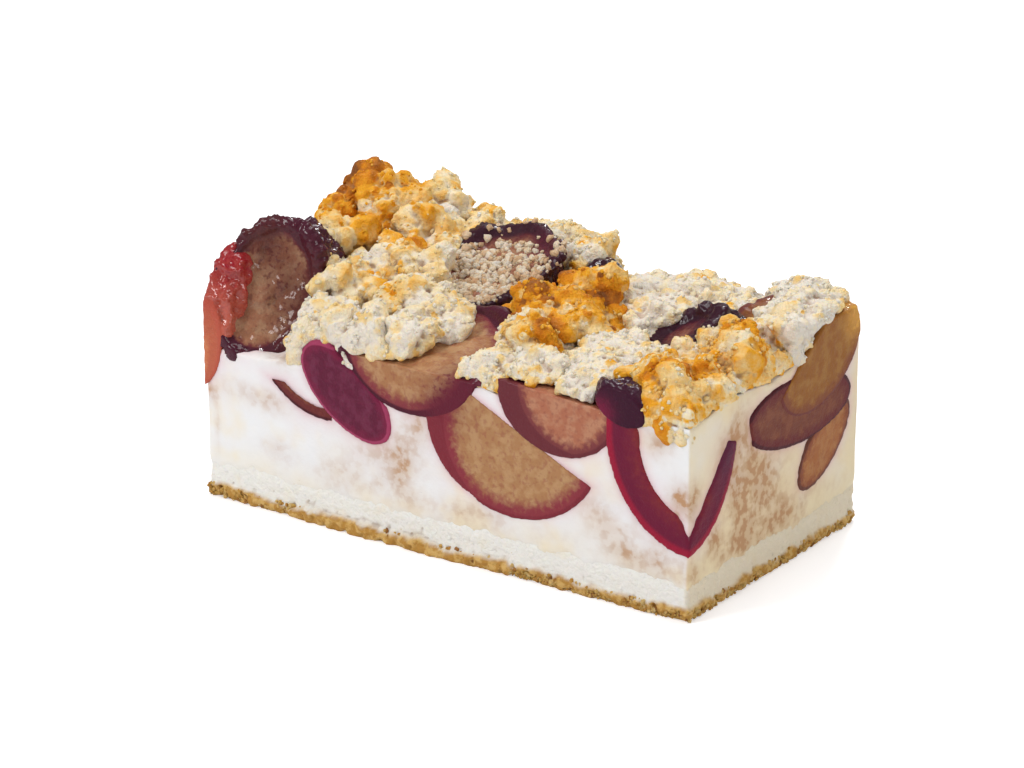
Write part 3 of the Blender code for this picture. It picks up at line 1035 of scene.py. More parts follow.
    def roughen(self, piece: Piece) -> tuple[Array, Array]:
        """Wrinkles the bare skin, dishes the flesh and grains the knife cuts.

        Args:
            piece: the piece to shape.

        Returns:
            How far each vertex is on a knife cut, and how far on open flesh.
        """
        points, normals = piece.points(), piece.normals()
        depth, outward = self.inwards(points)
        facing = (normals * outward).sum(axis=1)
        knife = np.max([
            ramped(np.abs(points[:, axis]), half - KNIFE_REACH, half + 0.05) for axis, half in SIDES
        ], axis=0)
        bare = ramped(points[:, 2] - FILLING_TOP.at(points), -1.5, 1.0) * (1.0 - knife)
        skin = ramped(facing, 0.3, 0.8) * (depth < 1.0) * bare
        folds = 1.0 - 2.0 * np.abs(PLUM_FOLDS.at(points))
        fine = 1.0 - 2.0 * np.abs(PLUM_WRINKLES.at(points))
        amount = skin * self.crinkle * (0.9 * folds + 0.45 * fine)
        open_flesh = ramped(self.past_cuts(points), -1.2, -0.3) * (1.0 - knife)
        curl = ramped(-depth, -1.7, -0.3) * open_flesh
        lift = self.rim * curl * (0.75 + 0.7 * RIM_WAVES.at(points))
        sink = self.dish * ramped(depth, 0.8, 4.0) * (0.6 + 0.6 * FLESH_DIPS.at(points))
        amount += (lift - sink) * open_flesh
        amount += GRAIN_HEIGHT * FLESH_GRAIN.at(points) * (knife * 0.8 + open_flesh)
        piece.push(amount)
        limit = np.array((HALF_LENGTH, HALF_WIDTH, math.inf)) + self.proud + CLIP_ROOM
        piece.place(np.clip(piece.points(), -limit, limit))
        return knife, open_flesh


@dataclass
class PlumTopping:
    """Every plum piece on the cake."""

    pieces: tuple[PlumPiece, ...] = (
        PlumPiece("plum_corner_cup", PlumTone.CRIMSON, (53.5, -29.3, 33.0), (17.8, 15.8, 20.5),
                  flesh=(((0.2, 0.2, 1.0), -0.9), ((1.1, -0.75, 0.66), -8.9)), wall=6.4,
                  dish=0.0, spots=(Spot((52.5, -17.0, 30.0), 8.5),), grow=0.4, proud=0.36),
        PlumPiece("plum_corner_fold", PlumTone.INK, (38.2, -25.5, 36.4), (5.6, 6.0, 3.4),
                  turn=(0, 18, 20), crinkle=0.9, spots=(Spot((34.5, -28.4, 35.0), 3.2, 0.9),),
                  voxel=0.3, proud=0.45),
        PlumPiece("plum_front_upper", PlumTone.ROSE, (25.5, -22.0, 35.3), (14.0, 14.0, 11.5),
                  flesh=(((0.06, 0.0, 1.0), 0.6),), blush=(-4.0, 0.0, -1.0), proud=0.28,
                  spots=(Spot((14.5, -28.4, 31.0), 4.0, 0.35),)),
        PlumPiece("plum_front_lens", PlumTone.BURGUNDY, (-20.3, -26.0, 26.9), (11.7, 10.5, 6.2),
                  turn=(0, 37, 0), flesh=(((0.6, 0.0, 0.8), 4.7),), proud=0.4),
        PlumPiece("plum_front_half", PlumTone.UMBER, (-6.0, -22.0, 36.8), (15.8, 15.0, 12.0),
                  flesh=(((0.0, -0.24, 0.97), -0.6),), rim=1.7, blush=(2.0, 0.0, 0.0),
                  spots=(Spot((8.5, -26.0, 33.0), 7.5), Spot((2.0, -28.4, 27.0), 6.0, 0.9)),
                  proud=0.3),
        PlumPiece("plum_front_large", PlumTone.TAN, (15.8, -24.0, 27.6), (19.2, 14.0, 17.0),
                  flesh=(((0.425, 0.0, 0.905), 0.7), ((0.0, -0.24, 0.97), 7.2)),
                  blush=(-3.5, 0.0, 1.5), proud=0.2,
                  spots=(Spot((2.5, -28.4, 29.0), 6.0, 0.5),)),
        PlumPiece("plum_front_sliver", PlumTone.MAROON, (-25.0, -23.0, 37.3), (18.3, 13.0, 18.3),
                  flesh=(((0.0, 0.0, 1.0), -11.3), ((1.0, 0.0, 0.0), 1.5), ((0.0, 1.0, 0.0), 4.0)),
                  wall=1.7, voxel=0.26, grow=0.1, proud=0.2),
        PlumPiece("plum_left_red", PlumTone.CORAL, (-52.2, -25.6, 34.0), (4.2, 4.2, 14.4),
                  turn=(-23, 8, 0), crinkle=0.8, voxel=0.34, proud=0.3,
                  spots=(Spot((-51.0, -22.0, 46.0), 11.0),)),
        PlumPiece("plum_left_half", PlumTone.OLIVE, (-45.5, -15.3, 36.2), (10.0, 14.0, 15.0),
                  turn=(0, 10, 0), flesh=(((0.45, -0.82, 0.36), 7.0),), crinkle=1.0, rim=1.1,
                  dish=1.2, spots=(Spot((-38.0, -21.0, 41.0), 7.5), Spot((-47.0, -17.0, 48.0), 5.0),
                                   Spot((-37.5, -25.0, 34.0), 4.5, 0.8)),
                  voxel=0.34, proud=0.1),
        PlumPiece("plum_back_rim", PlumTone.BEIGE, (-13.0, 6.0, 43.6), (12.0, 14.0, 11.5),
                  flesh=(((-0.08, -0.3, 0.95), -1.2),), crinkle=0.7, rim=1.3, dish=1.3,
                  spots=(Spot((-4.0, 13.0, 44.0), 5.0, 0.7), Spot((-9.0, 15.5, 46.0), 4.0, 0.6)),
                  voxel=0.34),
        PlumPiece("plum_right_upper", PlumTone.BROWN, (47.0, 14.0, 36.0), (13.0, 15.5, 10.0),
                  turn=(14, 0, 0), flesh=(((0.0, -0.55, 0.835), 4.2), ((0.0, 0.0, 1.0), 6.4)),
                  crinkle=0.4, proud=0.42,
                  spots=(Spot((52.5, 27.0, 41.0), 5.5, 0.9),)),
        PlumPiece("plum_right_dark", PlumTone.MAROON, (47.0, 7.5, 28.2), (12.0, 20.0, 7.0),
                  turn=(-5, 0, 0), flesh=(((0.0, -0.98, -0.2), 16.0),), crinkle=0.3,
                  proud=0.31),
        PlumPiece("plum_right_lower", PlumTone.RUSSET, (46.5, 16.4, 19.0), (11.0, 12.0, 6.0),
                  turn=(34, 0, 0), flesh=(((0.0, -0.35, 0.93), 5.0),), proud=0.2),
        PlumPiece("plum_top_small", PlumTone.BLACK, (33.5, 4.5, 38.0), (8.5, 6.5, 5.0),
                  turn=(8, -12, 35), flesh=(((-0.4, -0.3, 0.85), 2.6),), crinkle=0.9, rim=1.2,
                  voxel=0.3),
        PlumPiece("plum_back_tip", PlumTone.BLACK, (4.0, 18.0, 39.5), (2.9, 2.9, 4.6),
                  turn=(0, 10, 0), crinkle=0.7, voxel=0.3),
        PlumPiece("plum_left_rear", PlumTone.ROSE, (-48.0, 9.0, 25.0), (11.0, 15.0, 12.0),
                  flesh=(((0.0, 0.35, 0.93), 3.0),)),
        PlumPiece("plum_rear_left", PlumTone.TAN, (-26.0, 24.0, 24.5), (15.0, 11.0, 12.0),
                  flesh=(((-0.4, 0.0, 0.9), 2.0),), blush=(2.0, 0.0, 0.0)),
        PlumPiece("plum_rear_middle", PlumTone.ROSE, (11.0, 23.5, 26.0), (15.5, 12.0, 14.5),
                  flesh=(((0.38, 0.0, 0.92), 2.5),), blush=(-2.5, 0.0, 0.0)),
    )

    def nearest(self, points: Array) -> Array:
        """How far each place lies from the nearest plum piece, in millimetres."""
        gaps = [plum.gap_to(points) for plum in self.pieces]
        return np.min(gaps, axis=0)

    def build(self) -> None:
        """Shapes and dresses every plum piece."""
        looks = {tone: tone.value.material() for tone in PlumTone}
        for plum in self.pieces:
            piece = plum.build()
            piece.settle(looks[plum.tone], "plum", plum.node)


@dataclass
class CurdFilling:
    """The curd layer: a block with the knife's soft relief, stained where plums touch it."""

    plums: PlumTopping
    foot: float = 3.0
    nominal_top: float = 36.0
    voxel: float = 0.6
    waves: SoftNoise = SoftNoise(7.0, 51, 2)
    wave_height: float = 0.10
    seam_wander: SoftNoise = SoftNoise(3.4, 45, 3)
    seam_depth: float = 0.55
    pits: Pits = Pits(2.6, 57, 0.25)
    pit_depth: float = 0.18
    low_pits: Pits = Pits(1.5, 63, 0.5)
    low_pit_depth: float = 0.28
    top_lumps: SoftNoise = SoftNoise(4.0, 67, 2)
    top_height: float = 0.7
    blotches: SoftNoise = SoftNoise(3.0, 71, 2)
    juice_rim: float = 0.6
    juice_bleed: float = 3.2
    stain_edges: SoftNoise = SoftNoise(4.2, 77, 3)
    cream_veins: SoftNoise = SoftNoise(9.0, 79, 3)
    # the list below holds real brown stains and, on the short face, one broad painted shade
    stains_and_shade: tuple[Spot, ...] = (
        Spot((-12.9, -28.4, 13.7), (7.0, 2.0, 4.5), 0.50),
        Spot((-8.0, -28.4, 18.5), (4.5, 2.0, 4.5), 0.55),
        Spot((-20.0, -28.4, 11.0), (7.0, 2.0, 2.6), 0.28),
        Spot((-4.0, -28.4, 24.0), (3.0, 2.0, 3.0), 0.45),
        Spot((-6.1, -28.4, 9.6), (3.5, 2.0, 2.0), 0.3),
        Spot((-38.2, -28.4, 21.5), (5.0, 2.0, 2.2), 0.4),
        Spot((-46.0, -28.4, 22.0), (4.0, 2.0, 2.0), 0.4),
        Spot((-36.0, -28.4, 12.5), (3.5, 2.0, 1.8), 0.35),
        Spot((34.0, -28.4, 16.0), (4.5, 2.0, 3.6), 0.40),
        Spot((45.5, -28.4, 9.6), (6.0, 2.0, 3.2), 0.62),
        Spot((39.5, -28.4, 12.2), (5.0, 2.0, 3.4), 0.45),
        Spot((46.0, -28.4, 31.5), (3.0, 2.0, 2.6), 0.8),
        Spot((50.3, -28.4, 21.8), (2.2, 2.0, 3.0), 0.9),
        Spot((52.5, -26.6, 21.8), (2.0, 1.6, 3.0), 0.85),
        Spot((52.5, -14.5, 28.5), (2.0, 5.0, 5.0), 0.6),
        Spot((-37.0, -27.0, 31.0), (4.0, 3.0, 2.4), 0.8),
        Spot((-52.4, -28.4, 20.7), (1.8, 2.5, 2.4), 0.95),
        Spot((-50.2, -28.4, 17.0), (0.6, 2.0, 6.5), 0.35),
        Spot((52.5, -6.3, 17.0), (2.0, 6.5, 8.0), 0.95),
        Spot((52.5, -12.5, 25.0), (2.0, 4.2, 7.5), 0.95),
        Spot((52.5, -18.0, 12.0), (2.0, 6.0, 3.5), 0.50),
        Spot((52.5, -2.0, 9.0), (2.0, 18.0, 2.6), 0.45),
        Spot((52.5, -27.5, 8.8), (2.0, 2.2, 2.6), 0.95),
        Spot((52.5, 2.0, 12.0), (2.0, 3.5, 2.5), 0.4),
        Spot((8.0, -28.4, 10.5), (6.0, 2.0, 2.5), 0.3),
        # painted shade: a broad tan darkening over the short face, which lies out of the key light
        Spot((52.5, -6.0, 12.0), (1.5, 20.0, 10.0), 0.42),
        Spot((2.0, -28.4, 9.5), (30.0, 1.5, 3.0), 0.16),
        Spot((52.5, 13.0, 13.0), (2.0, 3.0, 2.0), 0.3),
        Spot((-52.5, 14.0, 14.0), (2.0, 5.0, 3.0), 0.5),
        Spot((-30.0, 28.4, 12.0), (6.0, 2.0, 3.0), 0.5),
        Spot((24.0, 28.4, 14.0), (5.0, 2.0, 4.0), 0.5),
    )
    grey_specks: tuple[Spot, ...] = (
        Spot((-3.6, -28.4, 12.2), (2.6, 2.0, 1.8), 1.0),
        Spot((-7.5, -28.4, 15.0), (2.0, 2.0, 2.0), 0.5),
        Spot((52.5, -23.5, 13.7), (2.0, 0.9, 0.9), 1.0),
    )

    def block(self) -> Piece:
        """The plain block under the filling's true top.

        Returns:
            The block with an even skin.
        """
        deselect_all()
        height = (self.nominal_top - self.foot) * MM
        middle = (0.0, 0.0, self.foot * MM + height / 2)
        bpy.ops.mesh.primitive_cube_add(size=1.0, location=middle)
        piece = Piece(bpy.context.object)
        piece.obj.name = piece.obj.data.name = "baked_curd_filling"
        piece.obj.scale = (2 * HALF_LENGTH * MM, 2 * HALF_WIDTH * MM, height)
        bpy.ops.object.transform_apply(location=True, rotation=True, scale=True)
        piece.remesh(self.voxel)
        points = piece.points()
        share = (points[:, 2] - self.foot) / (self.nominal_top - self.foot)
        points[:, 2] = self.foot + share * (FILLING_TOP.at(points) - self.foot)
        piece.place(points)
        return piece

    def build(self) -> None:
        """Shapes and dresses the curd."""
        piece = self.block()
        points, normals = piece.points(), piece.normals()
        side = 1.0 - ramped(np.abs(normals[:, 2]), 0.5, 0.9)
        seam = points[:, 2] + 1.3 * self.seam_wander.at(points)
        low = 1.0 - ramped(points[:, 2], DOUGH_TOP + 0.5, DOUGH_TOP + 4.5)
        amount = self.wave_height * self.waves.at(points) - 0.02
        amount -= self.seam_depth * (1.0 - ramped(seam, 4.6, 8.4)) * side
        amount -= self.pit_depth * self.pits.at(points)
        amount -= self.low_pit_depth * low * self.low_pits.at(points)
        top = ramped(points[:, 2] - FILLING_TOP.at(points), -2.0, 0.0)
        top *= ramped(normals[:, 2], 0.5, 0.95)
        amount += top * self.top_height * self.top_lumps.at(points)
        piece.push(amount)
        self.stain(piece, points, normals)
        piece.mark("crumbly", low)
        piece.settle(CurdFinish().material(), "curd", "curd_filling")

    def stain(self, piece: Piece, points: Array, normals: Array) -> None:
        """Stores the curd's juice marks, browned patches, specks, cream tint and painted shade.

        Args:
            piece: the shaped curd.
            points: its vertices before the relief, in millimetres.
            normals: the outward direction at each of them.
        """
        near = self.plums.nearest(points)
        blotch = 0.5 + 0.5 * self.blotches.at(points)
        juice = 0.5 * np.exp(-near / self.juice_rim)
        juice += 0.26 * blotch * np.exp(-near / self.juice_bleed)
        piece.mark("juice", np.clip(juice, 0.0, 1.0) * ramped(points[:, 2], 8.0, 16.0))
        ragged = np.maximum(0.85 + 0.6 * self.stain_edges.at(points), 0.1)
        browning_and_shade = sum(stain.at(points) for stain in self.stains_and_shade) * ragged
        piece.mark("browning_and_shade", np.clip(browning_and_shade, 0.0, 1.0))
        greying = sum(stain.at(points) for stain in self.grey_specks)
        piece.mark("greying", np.clip(greying, 0.0, 1.0))
        # painted shade: the short +X face, and the back face fading in towards that corner, lie out
        # of the key light and are tinted darker cream
        shaded = ramped(points[:, 0], 51.0, 52.2) * ramped(normals[:, 0], 0.3, 0.8)
        shade_round_corner = ramped(points[:, 0], 25.0, 52.0) * ramped(points[:, 1], 20.0, 28.0)
        cream = 0.30 * (1.0 - ramped(points[:, 2], 6.5, 14.0)) + 0.72 * np.maximum(shaded, shade_round_corner)
        cream += 0.25 * self.cream_veins.at(points)
        piece.mark("cream_and_shade", np.clip(cream, 0.0, 1.0))


def foot_swell(x: Array, y: Array) -> Array:
    """How far the dough's foot swells at some places, from 0 to 1 at the long face's middle."""
    return np.exp(-(((x + 10.0) / 26.0) ** 2)) * (y < 0)


@dataclass
class DoughBase:
    """The baked dough: porous on its cut sides, with a ragged golden-brown foot."""

    voxel: float = 0.45
    crust_height: float = 2.4
    porous_depth: float = 0.42
    lift: float = 1.3
    bulge: float = 1.2
    grain_height: float = 0.12
    crust_pit_depth: float = 1.1
    crust_edge: SoftNoise = SoftNoise(4.0, 83, 3)
    grain: SoftNoise = SoftNoise(1.6, 89, 2)
    pores: Pits = Pits(1.4, 91, 0.6)
    crust_pits: Pits = Pits(1.7, 97, 0.5)
    crust_lumps: SoftNoise = SoftNoise(1.5, 101, 2)

    def crusted(self, points: Array) -> Array:
        """How brown the dough is at each place: 0 on the pale crumb, 1 on the crust."""
        edge = self.crust_height + 0.9 * self.crust_edge.at(points)
        return 1.0 - ramped(points[:, 2] - edge, -0.5, 0.5)

    def build(self) -> None:
        """Shapes and dresses the dough."""
        piece = Piece.copy_of("dough_base")
        piece.remesh(self.voxel)
        points, normals = piece.points(), piece.normals()
        points[:, 2] += self.lift * ramped(points[:, 2], 3.5, DOUGH_TOP)
        inset = 0.04 + 0.4 * ramped(points[:, 2], 6.0, 7.8)
        for axis, half in SIDES:
            side = np.sign(points[:, axis])
            flush = ramped(side * normals[:, axis], 0.5, 0.8) * ramped(points[:, 2], 1.0, 3.5)
            points[:, axis] += (side * (half - inset) - points[:, axis]) * flush
        piece.place(points)
        crust = self.crusted(points)
        side = 1.0 - ramped(np.abs(normals[:, 2]), 0.5, 0.9)
        amount = self.grain_height * self.grain.at(points)
        amount -= self.porous_depth * self.pores.at(points)
        amount -= crust * self.crust_pit_depth * self.crust_pits.at(points)
        amount += crust * (0.25 + 0.45 * self.crust_lumps.at(points))
        amount += self.bulge * foot_swell(points[:, 0], points[:, 1]) * crust
        piece.push(amount * side)
        points = piece.points()
        points[:, 2] = np.maximum(points[:, 2], 0.0)
        piece.place(points)
        piece.mark("crust", self.crusted(points))
        # painted shade: marks the short +X face for the darker cream tint
        piece.mark("cream_and_shade", ramped(points[:, 0], 50.5, 52.0) * ramped(normals[:, 0], 0.3, 0.8))
        # hollow feeds the painted shade in the dough's recesses
        piece.mark("hollow", piece.hollows())
        piece.settle(DoughFinish().material(), "dough", "dough_base")


@dataclass(frozen=True)
class CrumbShape:
    """One uneven crumb about a unit wide: its corners and its triangles."""

    corners: Array
    triangles: Array


class CrumbMould:
    """Makes a few uneven crumbs, which are then copied."""

    def __init__(self, count: int, uneven: float, seed: int, keep: float = 1.0) -> None:
        """Models as many different crumbs as are counted, each with a seed of its own."""
        self.shapes = [self.model(uneven, seed + index, keep) for index in range(count)]

    @staticmethod
    def model(uneven: float, seed: int, keep: float) -> CrumbShape:
        """Models one crumb.

        Args:
            uneven: how rough it is, as a share of its radius.
            seed: its random seed.
            keep: share of the faces kept.

        Returns:
            The crumb's shape, of radius 1.
        """
        deselect_all()
        bpy.ops.mesh.primitive_ico_sphere_add(subdivisions=2, radius=1.0)
        piece = Piece(bpy.context.object)
        piece.edit()
        bpy.ops.transform.vertex_random(offset=uneven, uniform=0.4, normal=0.5, seed=seed)
        bpy.ops.mesh.vertices_smooth(factor=0.35, repeat=1)
        bpy.ops.object.mode_set(mode="OBJECT")
        if keep < 1.0:
            modifier = piece.obj.modifiers.new("Fewer faces", "DECIMATE")
            modifier.ratio = keep
            bpy.ops.object.modifier_apply(modifier=modifier.name)
        mesh = piece.obj.data
        mesh.calc_loop_triangles()
        corners = piece.points() * MM
        triangles = np.array([loop.vertices[:] for loop in mesh.loop_triangles])
        bpy.data.objects.remove(piece.obj)
        return CrumbShape(corners, triangles)

    def scatter(
        self, name: str, places: Array, radii: Array, seed: int
    ) -> tuple[Piece, Array]:
        """Copies the crumbs to many places as one mesh.

        Args:
            name: the new object's name.
            places: the middle of each crumb in millimetres.
            radii: the radius of each crumb.
            seed: random seed of their turns and proportions.

        Returns:
            The piece and, for each of its vertices, the number of its crumb.
        """
        draw = np.random.default_rng(seed)
        pick = draw.integers(len(self.shapes), size=len(places))
        corners, triangles, owners, start = [], [], [], 0
        for index, shape in enumerate(self.shapes):
            here = np.flatnonzero(pick == index)
            if not len(here):
                continue
            frames = np.linalg.qr(draw.normal(size=(len(here), 3, 3)))[0]
            frames[:, 0] *= np.sign(np.linalg.det(frames))[:, None]
            sizes = radii[here, None] * draw.uniform(0.75, 1.2, size=(len(here), 3))
            made = (shape.corners[None] * sizes[:, None]) @ frames + places[here, None]
            corners.append(made.reshape(-1, 3))
            steps = start + np.arange(len(here)) * len(shape.corners)
            triangles.append((shape.triangles[None] + steps[:, None, None]).reshape(-1, 3))
            owners.append(np.repeat(here, len(shape.corners)))
            start += len(here) * len(shape.corners)
        mesh = bpy.data.meshes.new(name)
        points = np.concatenate(corners) * MM
        mesh.from_pydata(points.tolist(), [], np.concatenate(triangles).tolist())
        return Piece(link_mesh(name, mesh)), np.concatenate(owners)


def on_surface(
    piece: Piece, count: int, draw: np.random.Generator, lowest: float
) -> tuple[Array, Array]:
    """Random places spread evenly over a piece.

    Args:
        piece: the piece to sample.
        count: number of places.
        draw: the random source.
        lowest: least upward share of the surface's direction.

    Returns:
        The places in millimetres and the outward direction at each.
    """
    mesh = piece.obj.data
    mesh.calc_loop_triangles()
    flat = np.empty(len(mesh.loop_triangles) * 3, np.int32)
    mesh.loop_triangles.foreach_get("vertices", flat)
    corners = piece.points()[flat.reshape(-1, 3)]
    cross = np.cross(corners[:, 1] - corners[:, 0], corners[:, 2] - corners[:, 0])
    area = np.linalg.norm(cross, axis=1)
    outward = cross / np.maximum(area, 1e-9)[:, None]
    weight = area * (outward[:, 2] > lowest)
    chosen = draw.choice(len(area), size=count, p=weight / weight.sum())
    along, across = draw.uniform(size=(2, count))
    flip = along + across > 1.0
    along, across = np.where(flip, 1 - along, along), np.where(flip, 1 - across, across)
    first, second, third = (corners[chosen, index] for index in range(3))
    places = first + (second - first) * along[:, None] + (third - first) * across[:, None]
    return places, outward[chosen]


HOT_SPOTS = (
    Spot((-46.5, 13.0, 50.5), 9.5, 0.30),
    Spot((-51.0, 12.3, 46.5), 5.0, 0.25),
    Spot((-28.4, 2.3, 43.5), 3.6, 0.40),
    Spot((-19.6, -15.8, 42.0), 3.4, 0.42),
    Spot((2.9, -4.1, 44.5), 4.6, 0.42),
    Spot((0.3, 7.7, 45.0), 4.4, 0.45),
    Spot((7.1, 5.7, 44.5), 4.0, 0.38),
    Spot((13.0, 3.4, 42.5), 3.4, 0.3),
    Spot((42.2, -22.1, 42.0), 3.6, 0.45),
    Spot((40.9, -15.1, 41.0), 3.2, 0.32),
    Spot((47.3, -15.8, 41.0), 3.0, 0.40),
    Spot((45.6, 0.1, 42.5), 3.8, 0.50),
    Spot((49.5, -5.5, 41.0), 4.0, 0.35),
    Spot((45.1, 9.3, 42.0), 3.0, 0.3),
    Spot((11.7, -15.2, 41.0), 4.8, 0.55),
)


BAKING_BLOTCHES = SoftNoise(5.0, 111, 2)
BAKING_FRECKLES = SoftNoise(1.8, 115, 2)
CRUMBLE_GRAIN = SoftNoise(1.0, 121, 2)


@dataclass(frozen=True)
class CrumbleClump:
    """One clump of crumble: how far it baked, its lumps' radius, and lumps at set places."""

    node: str
    baking: float
    grain: float
    seed: int
    extra: tuple[tuple[float, float, float, float], ...] = ()
    fine: float = 0.55
    voxel: float = 0.34
    variety: float = 0.13
    pip_height: float = 0.26
    grain_height: float = 0.10

    def baked(self, points: Array) -> Array:
        """How brown the clump is at some places.

        Args:
            points: places in millimetres, one per row.

        Returns:
            0 for cream to 1 for brown, for each row.
        """
        total = self.baking + 0.13 * BAKING_BLOTCHES.at(points)
        total += 0.06 * BAKING_FRECKLES.at(points)
        return total + sum(spot.at(points) for spot in HOT_SPOTS)

    def build(self, mould: CrumbMould) -> Piece:
        """Shapes the clump: its CAD form covered in fused lumps.

        Args:
            mould: the crumbs to cover it with.

        Returns:
            The shaped clump, with its browning stored for the material.
        """
        piece = Piece.copy_of(self.node)
        places, radii = self.lumps(piece)
        own = np.random.default_rng(self.seed + 7).normal(0.0, self.variety, size=len(places))
        lumps, _ = mould.scatter(self.node + "_lumps", places, radii, self.seed)
        piece.focus()
        lumps.obj.select_set(True)
        bpy.ops.object.join()
        piece.remesh(self.voxel)
        piece.soften(0.5, 2)
        points = piece.points()
        bumps = self.pip_height * Pits(1.25, self.seed, 0.55).at(points)
        piece.push(bumps + self.grain_height * CRUMBLE_GRAIN.at(points))
        wide = piece.hollows(30)
        # hollow feeds the painted shade in the crevices between the lumps
        piece.mark("hollow", wide + piece.hollows())
        baking = self.baked(points) - 0.25 * wide + own[self.nearest_lump(points, places, radii)]
        piece.mark("baking", np.clip(baking, 0.0, 1.0))
        return piece

    @staticmethod
    def nearest_lump(points: Array, places: Array, radii: Array) -> Array:
        """Finds the lump that each vertex belongs to.

        Args:
            points: the clump's vertices in millimetres.
            places: the middle of each lump.
            radii: the radius of each lump.

        Returns:
            The number of the lump whose surface is nearest, for each vertex.
        """
        owners = []
        for part in np.array_split(points, max(1, len(points) // 4000)):
            apart = np.linalg.norm(part[:, None] - places[None], axis=2) / radii[None]
            owners.append(apart.argmin(axis=1))
        return np.concatenate(owners)

    def lumps(self, piece: Piece) -> tuple[Array, Array]:
        """Places coarse and fine lumps over the clump's solid.

        Args:
            piece: the clump's plain form.

        Returns:
            The middle and the radius of each lump in millimetres.
        """
        draw = np.random.default_rng(self.seed)
        area = self.upper_area(piece)
        places, radii = [], []
        coarse, fine = (0.8, self.grain, -0.4, 0.35), (0.7, self.fine, -0.1, 0.6)
        for share, size, sunk, raised in (coarse, fine):
            count = int(share * area / (math.pi * size**2))
            spots, outward = on_surface(piece, count, draw, UNDERSIDE)
            made = np.clip(size * draw.lognormal(0.0, 0.35, size=count), size * 0.5, size * 1.7)
            lift = made * draw.uniform(sunk, raised, size=count)
            places.append(spots + outward * lift[:, None])
            radii.append(made)
        if self.extra:
            known = np.array(self.extra)
            places.append(known[:, :3])
            radii.append(known[:, 3])
        middle, radius = np.concatenate(places), np.concatenate(radii)
        for axis, half in SIDES:
            limit = half - radius * 0.55
            middle[:, axis] = np.clip(middle[:, axis], -limit, limit)
        return middle, radius

    @staticmethod
    def upper_area(piece: Piece) -> float:
        """Area, in square millimetres, of a piece's surface that doesn't face down."""
        faces = piece.obj.data.polygons
        return sum(face.area for face in faces if face.normal.z > UNDERSIDE) / MM**2


@dataclass
class CrumbleTopping:
    """Every clump of crumble on the cake."""

    clumps: tuple[CrumbleClump, ...] = (
        CrumbleClump("crumble_peak", 0.44, 1.9, 203, (
            (-40.2, -3.5, 45.0, 2.8),
            (-42.0, 5.5, 44.5, 3.4),
        )),
        CrumbleClump("crumble_back_left", 0.25, 2.1, 207),
        CrumbleClump("crumble_left_middle", 0.27, 2.1, 211, (
            (-41.2, -8.8, 46.2, 2.9),
            (-37.6, -12.6, 43.6, 2.9),
            (-34.6, -17.6, 41.4, 2.8),
            (-32.0, -14.4, 42.6, 2.6),
        )),
        CrumbleClump("crumble_left_front", 0.07, 1.8, 219, (
            (-31.2, -24.0, 36.8, 2.3),
            (-28.8, -25.8, 35.6, 2.5),
            (-25.6, -22.0, 37.6, 2.6),
            (-24.0, -25.0, 36.4, 2.4),
        )),
        CrumbleClump("crumble_middle_left", 0.14, 1.5, 223),
        CrumbleClump("crumble_centre", 0.50, 2.1, 229),
        CrumbleClump("crumble_centre_front", 0.15, 1.4, 231),
        CrumbleClump("crumble_fine_patch", 0.07, 0.9, 237),
        CrumbleClump("crumble_right_lump", 0.33, 2.2, 241, (
            (50.4, -26.4, 34.0, 3.0),
            (46.6, -27.0, 34.2, 2.8),
            (50.4, -21.8, 36.6, 2.4),
            (43.6, -27.0, 35.4, 2.4),
        )),
        CrumbleClump("crumble_right_middle", 0.35, 2.1, 243),
        CrumbleClump("crumble_right_back", 0.05, 1.2, 247),
        CrumbleClump("crumble_back_middle", 0.08, 1.3, 253),
        CrumbleClump("crumble_back_centre", 0.18, 1.5, 259),
    )

    def build(self) -> list[Piece]:
        """Shapes and dresses every clump.

        Returns:
            The finished clumps.
        """
        mould = CrumbMould(8, 0.36, 300)
        look = CrumbleFinish().material()
        made = []
        for clump in self.clumps:
            piece = clump.build(mould)
            piece.settle(look, "crumble", clump.node)
            made.append(piece)
        return made


@dataclass(frozen=True)
class CrumbSizes:
    """Radii of one kind of loose crumb: logarithm of the middle one, spread, least and most."""

    middle: float
    spread: float
    least: float
    most: float

    def drawn(self, draw: np.random.Generator, count: int) -> Array:
        """As many random radii in millimetres as are counted."""
        radii = draw.lognormal(self.middle, self.spread, size=count)
        return np.clip(radii, self.least, self.most)


